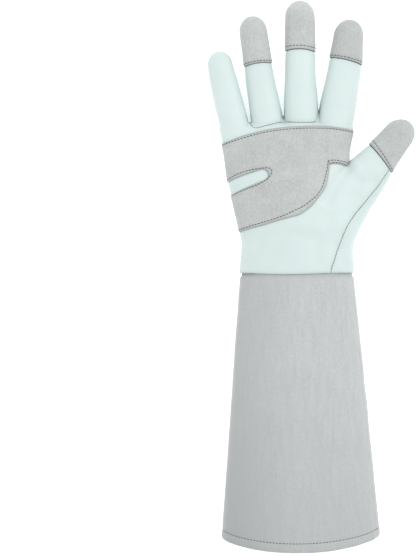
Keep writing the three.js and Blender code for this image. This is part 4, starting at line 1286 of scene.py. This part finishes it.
@functools.lru_cache
def cuff_skin():
    """The cuff's sheet with its folds, its side seam and its stitched hem, and its rows."""
    hand = hand_skin()[0]
    rows = cuff_rows(hand.sizes)
    turns = even_turns(hand)
    rings = [cuff_ring(hand, down, inset, turns) for down, inset in rows]
    points = np.concatenate(rings)
    place = np.arange(len(points)).reshape(len(rows), CUFF_AROUND)
    after = np.roll(place, -1, axis=1)
    corners = (place[:-1], after[:-1], after[1:], place[1:])
    faces = np.stack(corners, axis=-1).reshape(-1, 4)
    triangles = np.concatenate([faces[:, [0, 1, 2]], faces[:, [0, 2, 3]]])
    faces, normals = facing_out(points, faces, point_normals(points, triangles))
    down, inset = (np.repeat(column, CUFF_AROUND) for column in np.transpose(rows))
    along = np.clip(down / CUFF_LENGTH, 0, 1)
    relief = CUFF_WAVE_DEPTH * soft_noise(points, *CUFF_WAVES) * np.sin(math.pi * along)
    relief += CUFF_RIPPLE_DEPTH * soft_noise(points, *CUFF_RIPPLES)
    # The lengthwise seam near the thumb's side pulls the sheet in along one line
    from_seam = np.tile(turns, len(rows)) - CUFF_SEAM_TURN
    relief -= CUFF_SEAM_DEPTH * falloff(from_seam, CUFF_SEAM_WIDTH)
    from_stitches = down - (CUFF_LENGTH - HEM_STITCH)
    relief -= STITCH_SINK * falloff(from_stitches, HEM_GROOVE)
    swell = np.clip((down - CUFF_LENGTH + HEM_STITCH) / HEM_STITCH, 0, 1)
    relief += HEM_SWELL * np.sin(math.pi * swell)
    relief *= np.where(inset < hand.sizes.suede_wall, 1, CUFF_INSIDE)
    start, length = CUFF_FLAT
    relief *= np.clip((down - start) / length, 0, 1)
    points = points + normals * relief[:, None]
    points[:, 2] = np.maximum(points[:, 2], inset)
    # The cuff is painted darker towards its hem
    amount, start = CUFF_LOW_DARKENING
    darkening = amount * np.clip((down / CUFF_LENGTH - start) / (1 - start), 0, 1)
    # Painted shade on the cuff's outer side
    outer_side = 2 * (hand.origin[0] - points[:, 0]) / hand.sizes.palm_width
    darkening += CUFF_SIDE_SHADE * np.clip(outer_side, 0, 1)
    # Painted shadow along the wrist, under the white leather's edge
    amount, width = CUFF_WRIST_SHADOW
    darkening += amount * falloff(down, EDGE_SAG + width)
    return np.column_stack([points, darkening]), faces, rows


@functools.lru_cache
def hand_cloth(lift, at_sides=1.0):
    """The hand's skin raised by a lift, to lay stitches on."""
    _, points, faces, normals, _ = hand_skin()
    return Cloth(points + normals * thinned(lift, at_sides, normals)[:, None], faces)


def length_property(name, description, millimetres):
    return bpy.props.FloatProperty(
        name=name, description=description, default=millimetres * MM, min=0, unit="LENGTH"
    )


def colour_property(name, description, hex_colour):
    return bpy.props.FloatVectorProperty(
        name=name, description=description, default=linear(hex_colour), min=0, max=1,
        subtype="COLOR",
    )


class GauntletSizes(bpy.types.PropertyGroup):
    """The glove's driving sizes. Its lengths along the hand and the cuff come from the frame."""

    palm_width: length_property("Palm width", "Across the knuckles", 106)
    palm_height: length_property("Palm height", "Thickest part of the palm, off the table", 31)
    finger_width: length_property("Finger width", "Middle finger, half way along", 25)
    finger_height: length_property("Finger height", "Middle finger, off the table", 20)
    thumb_width: length_property("Thumb width", "Where the thumb leaves the wrist", 40)
    thumb_height: length_property("Thumb height", "Where the thumb leaves the wrist", 27)
    tip_length: length_property("Fingertip length", "Suede tip, from its edge to its end", 38)
    hem_width: length_property("Hem width", "Across the cuff's open end", 125.1)
    hem_height: length_property("Hem height", "Height of the cuff's open end", 60)
    goatskin_wall: length_property("Goatskin", "Thickness of the white leather", 1.3)
    suede_wall: length_property("Cuff suede", "Thickness of the cuff's suede", 1.5)
    patch_wall: length_property("Patch suede", "Thickness of the palm patch", 1.0)
    dent_depth: length_property("Dents", "Depth of the leather's soft dents", 0.45)
    pleat_depth: length_property("Pleats", "Height of the gathers at the back of the wrist", 1.0)


class GauntletColours(bpy.types.PropertyGroup):
    """The finishes' colours."""

    goatskin: colour_property("Goatskin", "White leather with a cool cast", "#d6e5e3")
    tip_suede: colour_property("Fingertip suede", "Light grey nap", "#bec2c1")
    patch_suede: colour_property("Patch suede", "Light grey nap", "#bcc0bf")
    cuff_suede: colour_property("Cuff suede", "Light grey nap", "#bdc1c1")
    thread: colour_property("Thread", "Dark grey thread", "#505356")
    paper: colour_property("Paper", "Pale background", "#ffffff")


GOATSKIN_PIECES = (
    "palm_panel", "ring_front", "middle_front", "back_panel", "little_ring_strip",
    "ring_middle_strip", "middle_index_strip", "thumb_strip", "thumb_back",
)


class GAUNTLET_OT_goatskin_hand(bpy.types.Operator):
    """Sew the hand: palm, finger fronts, back, side strips and thumb back, in white goatskin"""

    bl_idname = "gauntlet.goatskin_hand"
    bl_label = "Goatskin hand"

    def execute(self, context):
        for name in GOATSKIN_PIECES:
            leather_piece(name, "goatskin", 0, context.scene.gauntlet_sizes.goatskin_wall)
        return {"FINISHED"}


def tip_stitch_line(hand, name):
    """The stitched line across a fingertip, just above its lower edge."""
    digit = hand.digits[name]
    left, right, arch, above, _ = TIP_EDGES[name]
    ends = [
        digit.edge(digit.from_end(hand.sizes.tip_length * share - above * MM), side)
        for side, share in ((-1, left), (1, right))
    ]
    return arched(*ends, STITCH_ARCH * arch * MM)


class GAUNTLET_OT_fingertips(bpy.types.Operator):
    """Cap three fingers and the thumb with grey suede"""

    bl_idname = "gauntlet.fingertips"
    bl_label = "Suede fingertips"

    def execute(self, context):
        wall = context.scene.gauntlet_sizes.goatskin_wall + TIP_PROUD
        hand = hand_skin()[0]
        for name, (*_, piece_darkening) in TIP_EDGES.items():
            leather_piece(f"{name}_tip", "tip_suede", TIP_PROUD, wall,
                          [tip_stitch_line(hand, name)], piece_darkening=piece_darkening)
        return {"FINISHED"}


def patch_rows(hand):
    """The patch's stitched lines, seen from above."""
    rows = (PATCH_TOP_STITCHES, NOTCH_STITCHES, NOTCH_EDGE_STITCHES, PATCH_BOTTOM_STITCHES,
            SLOT_STITCHES)
    return [smooth_line(hand.plan(row)) for row in rows]


class GAUNTLET_OT_palm_patch(bpy.types.Operator):
    """Lay the suede patch over the palm"""

    bl_idname = "gauntlet.palm_patch"
    bl_label = "Palm patch"

    def execute(self, context):
        wall = context.scene.gauntlet_sizes.patch_wall
        leather_piece("palm_patch", "patch_suede", PATCH_GAP + wall, wall,
                      patch_rows(hand_skin()[0]), PATCH_AT_SIDES)
        return {"FINISHED"}


class GAUNTLET_OT_cuff(bpy.types.Operator):
    """Make the flared suede cuff with its turned hem"""

    bl_idname = "gauntlet.cuff"
    bl_label = "Cuff"

    def execute(self, context):
        points, faces, _ = cuff_skin()
        cuff = mesh_object("cuff_suede_sheet", points, faces, finishes()["cuff_suede"])
        walled(cuff, context.scene.gauntlet_sizes.suede_wall)
        placed(cuff, "cuff")
        return {"FINISHED"}


def hem_row():
    """The row of the cuff's points that lies nearest to the hem's stitches, closed to a ring."""
    points, _, rows = cuff_skin()
    downs = np.array([down for down, inset in rows if inset == 0])
    row = np.argmin(np.abs(downs - (CUFF_LENGTH - HEM_STITCH)))
    ring = points.reshape(len(rows), CUFF_AROUND, -1)[row, :, :3]
    return np.concatenate([ring, ring[:1]])


def zigzag_row():
    """The elastic's zigzag across the back of the wrist, in the hand's shares."""
    left, right = SHIRRING_ACROSS
    low, high = SHIRRING_UP
    across = np.linspace(left + ZIGZAG_INSET, right - ZIGZAG_INSET, 2 * ZIGZAG_TEETH + 1)
    return [(place, high if i % 2 else low) for i, place in enumerate(across)]


class GAUNTLET_OT_stitching(bpy.types.Operator):
    """Sew every row of stitches that shows"""

    bl_idname = "gauntlet.stitching"
    bl_label = "Stitching"

    def execute(self, context):
        hand = hand_skin()[0]
        patch_lift = PATCH_GAP + hand.sizes.patch_wall - IN_THE_GROOVE
        on_patch = hand_cloth(patch_lift, PATCH_AT_SIDES)
        on_tips = hand_cloth(TIP_PROUD - IN_THE_GROOVE)
        in_seams = hand_cloth(-IN_THE_SEAM)
        on_hand = hand_cloth(0.0)
        seams = [smooth_line(hand.plan(seam[1:-1]))
                 for seam in (FINGER_FRONT_SEAM, THUMB_PALM_SEAM)]
        turned = [(SHIRRING_ACROSS[0], TURNED_EDGE_UP), (TURNED_EDGE_END, TURNED_EDGE_UP)]
        back = [spaced(hand.plan(row), LINE_SPACING / 2) for row in (zigzag_row(), turned)]
        rows = {
            "patch_stitches": [on_patch.laid(spaced(line)) for line in patch_rows(hand)],
            "fingertip_stitches": [on_tips.across(tip_stitch_line(hand, name))
                                   for name in TIP_EDGES],
            "seam_stitches": [in_seams.laid(spaced(line)) for line in seams],
            "hem_stitches": [hem_row()],
            "back_stitches": [on_hand.laid(line, -THREAD_SINK, downwards=False) for line in back],
        }
        for name, lines in rows.items():
            sewn_rows(name, lines)
        return {"FINISHED"}


class GAUNTLET_OT_stage(bpy.types.Operator):
    """Set up the pale paper, the soft lights and the camera"""

    bl_idname = "gauntlet.stage"
    bl_label = "Stage"

    def execute(self, context):
        collection = context.scene.collection
        corners = [(x, y, -PAPER_DROP) for x, y in ((-1, -1), (1, -1), (1, 1), (-1, 1))]
        paper = mesh_object("paper", np.array(corners) * (PAPER_HALF, PAPER_HALF, 1),
                            np.array([[0, 1, 2, 3]]),
                            paper_sweep(context.scene.gauntlet_colours.paper))
        for name, place, size, power in LIGHTS:
            lamp = bpy.data.lights.new(name, "AREA")
            lamp.shape = "DISK"
            lamp.size = size
            lamp.energy = power
            made = bpy.data.objects.new(name, lamp)
            made.location = place
            made.rotation_euler = (-Vector(place)).to_track_quat("-Z", "Y").to_euler()
            collection.objects.link(made)
        world = bpy.data.worlds.new("Soft white room")
        world.use_nodes = True
        sky = world.node_tree.nodes["Background"]
        sky.inputs["Color"].default_value = (1, 1, 1, 1)
        sky.inputs["Strength"].default_value = ROOM_LIGHT
        context.scene.world = world
        context.scene.view_settings.view_transform = "Standard"
        view = bpy.data.cameras.new("camera")
        view.sensor_fit = "VERTICAL"
        view.sensor_height = SENSOR_HEIGHT
        view.lens = view.sensor_height * (CAMERA_HEIGHT - SCALE_HEIGHT) / (PHOTO_ROWS * PIXEL)
        camera = bpy.data.objects.new("camera", view)
        camera.location = (GLOVE_TO_PHOTO_MIDDLE[0], GLOVE_TO_PHOTO_MIDDLE[1], CAMERA_HEIGHT)
        collection.objects.link(camera)
        context.scene.camera = camera
        return {"FINISHED"}


class GAUNTLET_PT_pieces(bpy.types.Panel):
    """The glove's sizes, colours and pieces"""

    bl_idname = "GAUNTLET_PT_pieces"
    bl_label = "Pruning gauntlet"
    bl_space_type = "VIEW_3D"
    bl_region_type = "UI"
    bl_category = "Gauntlet"

    def draw(self, context):
        for group in (context.scene.gauntlet_sizes, context.scene.gauntlet_colours):
            box = self.layout.box()
            for name in group.__annotations__:
                box.prop(group, name)
        for operator in OPERATORS:
            self.layout.operator(operator.bl_idname)


OPERATORS = (
    GAUNTLET_OT_goatskin_hand,
    GAUNTLET_OT_fingertips,
    GAUNTLET_OT_palm_patch,
    GAUNTLET_OT_cuff,
    GAUNTLET_OT_stitching,
    GAUNTLET_OT_stage,
)
CLASSES = (GauntletSizes, GauntletColours, *OPERATORS, GAUNTLET_PT_pieces)


def register():
    for cls in CLASSES:
        bpy.utils.register_class(cls)
    bpy.types.Scene.gauntlet_sizes = bpy.props.PointerProperty(type=GauntletSizes)
    bpy.types.Scene.gauntlet_colours = bpy.props.PointerProperty(type=GauntletColours)


def unregister():
    del bpy.types.Scene.gauntlet_colours
    del bpy.types.Scene.gauntlet_sizes
    for cls in reversed(CLASSES):
        bpy.utils.unregister_class(cls)


def main():
    register()
    bpy.ops.gauntlet.goatskin_hand()
    bpy.ops.gauntlet.fingertips()
    bpy.ops.gauntlet.palm_patch()
    bpy.ops.gauntlet.cuff()
    bpy.ops.gauntlet.stitching()
    bpy.ops.gauntlet.stage()


if __name__ == "__main__":
    main()
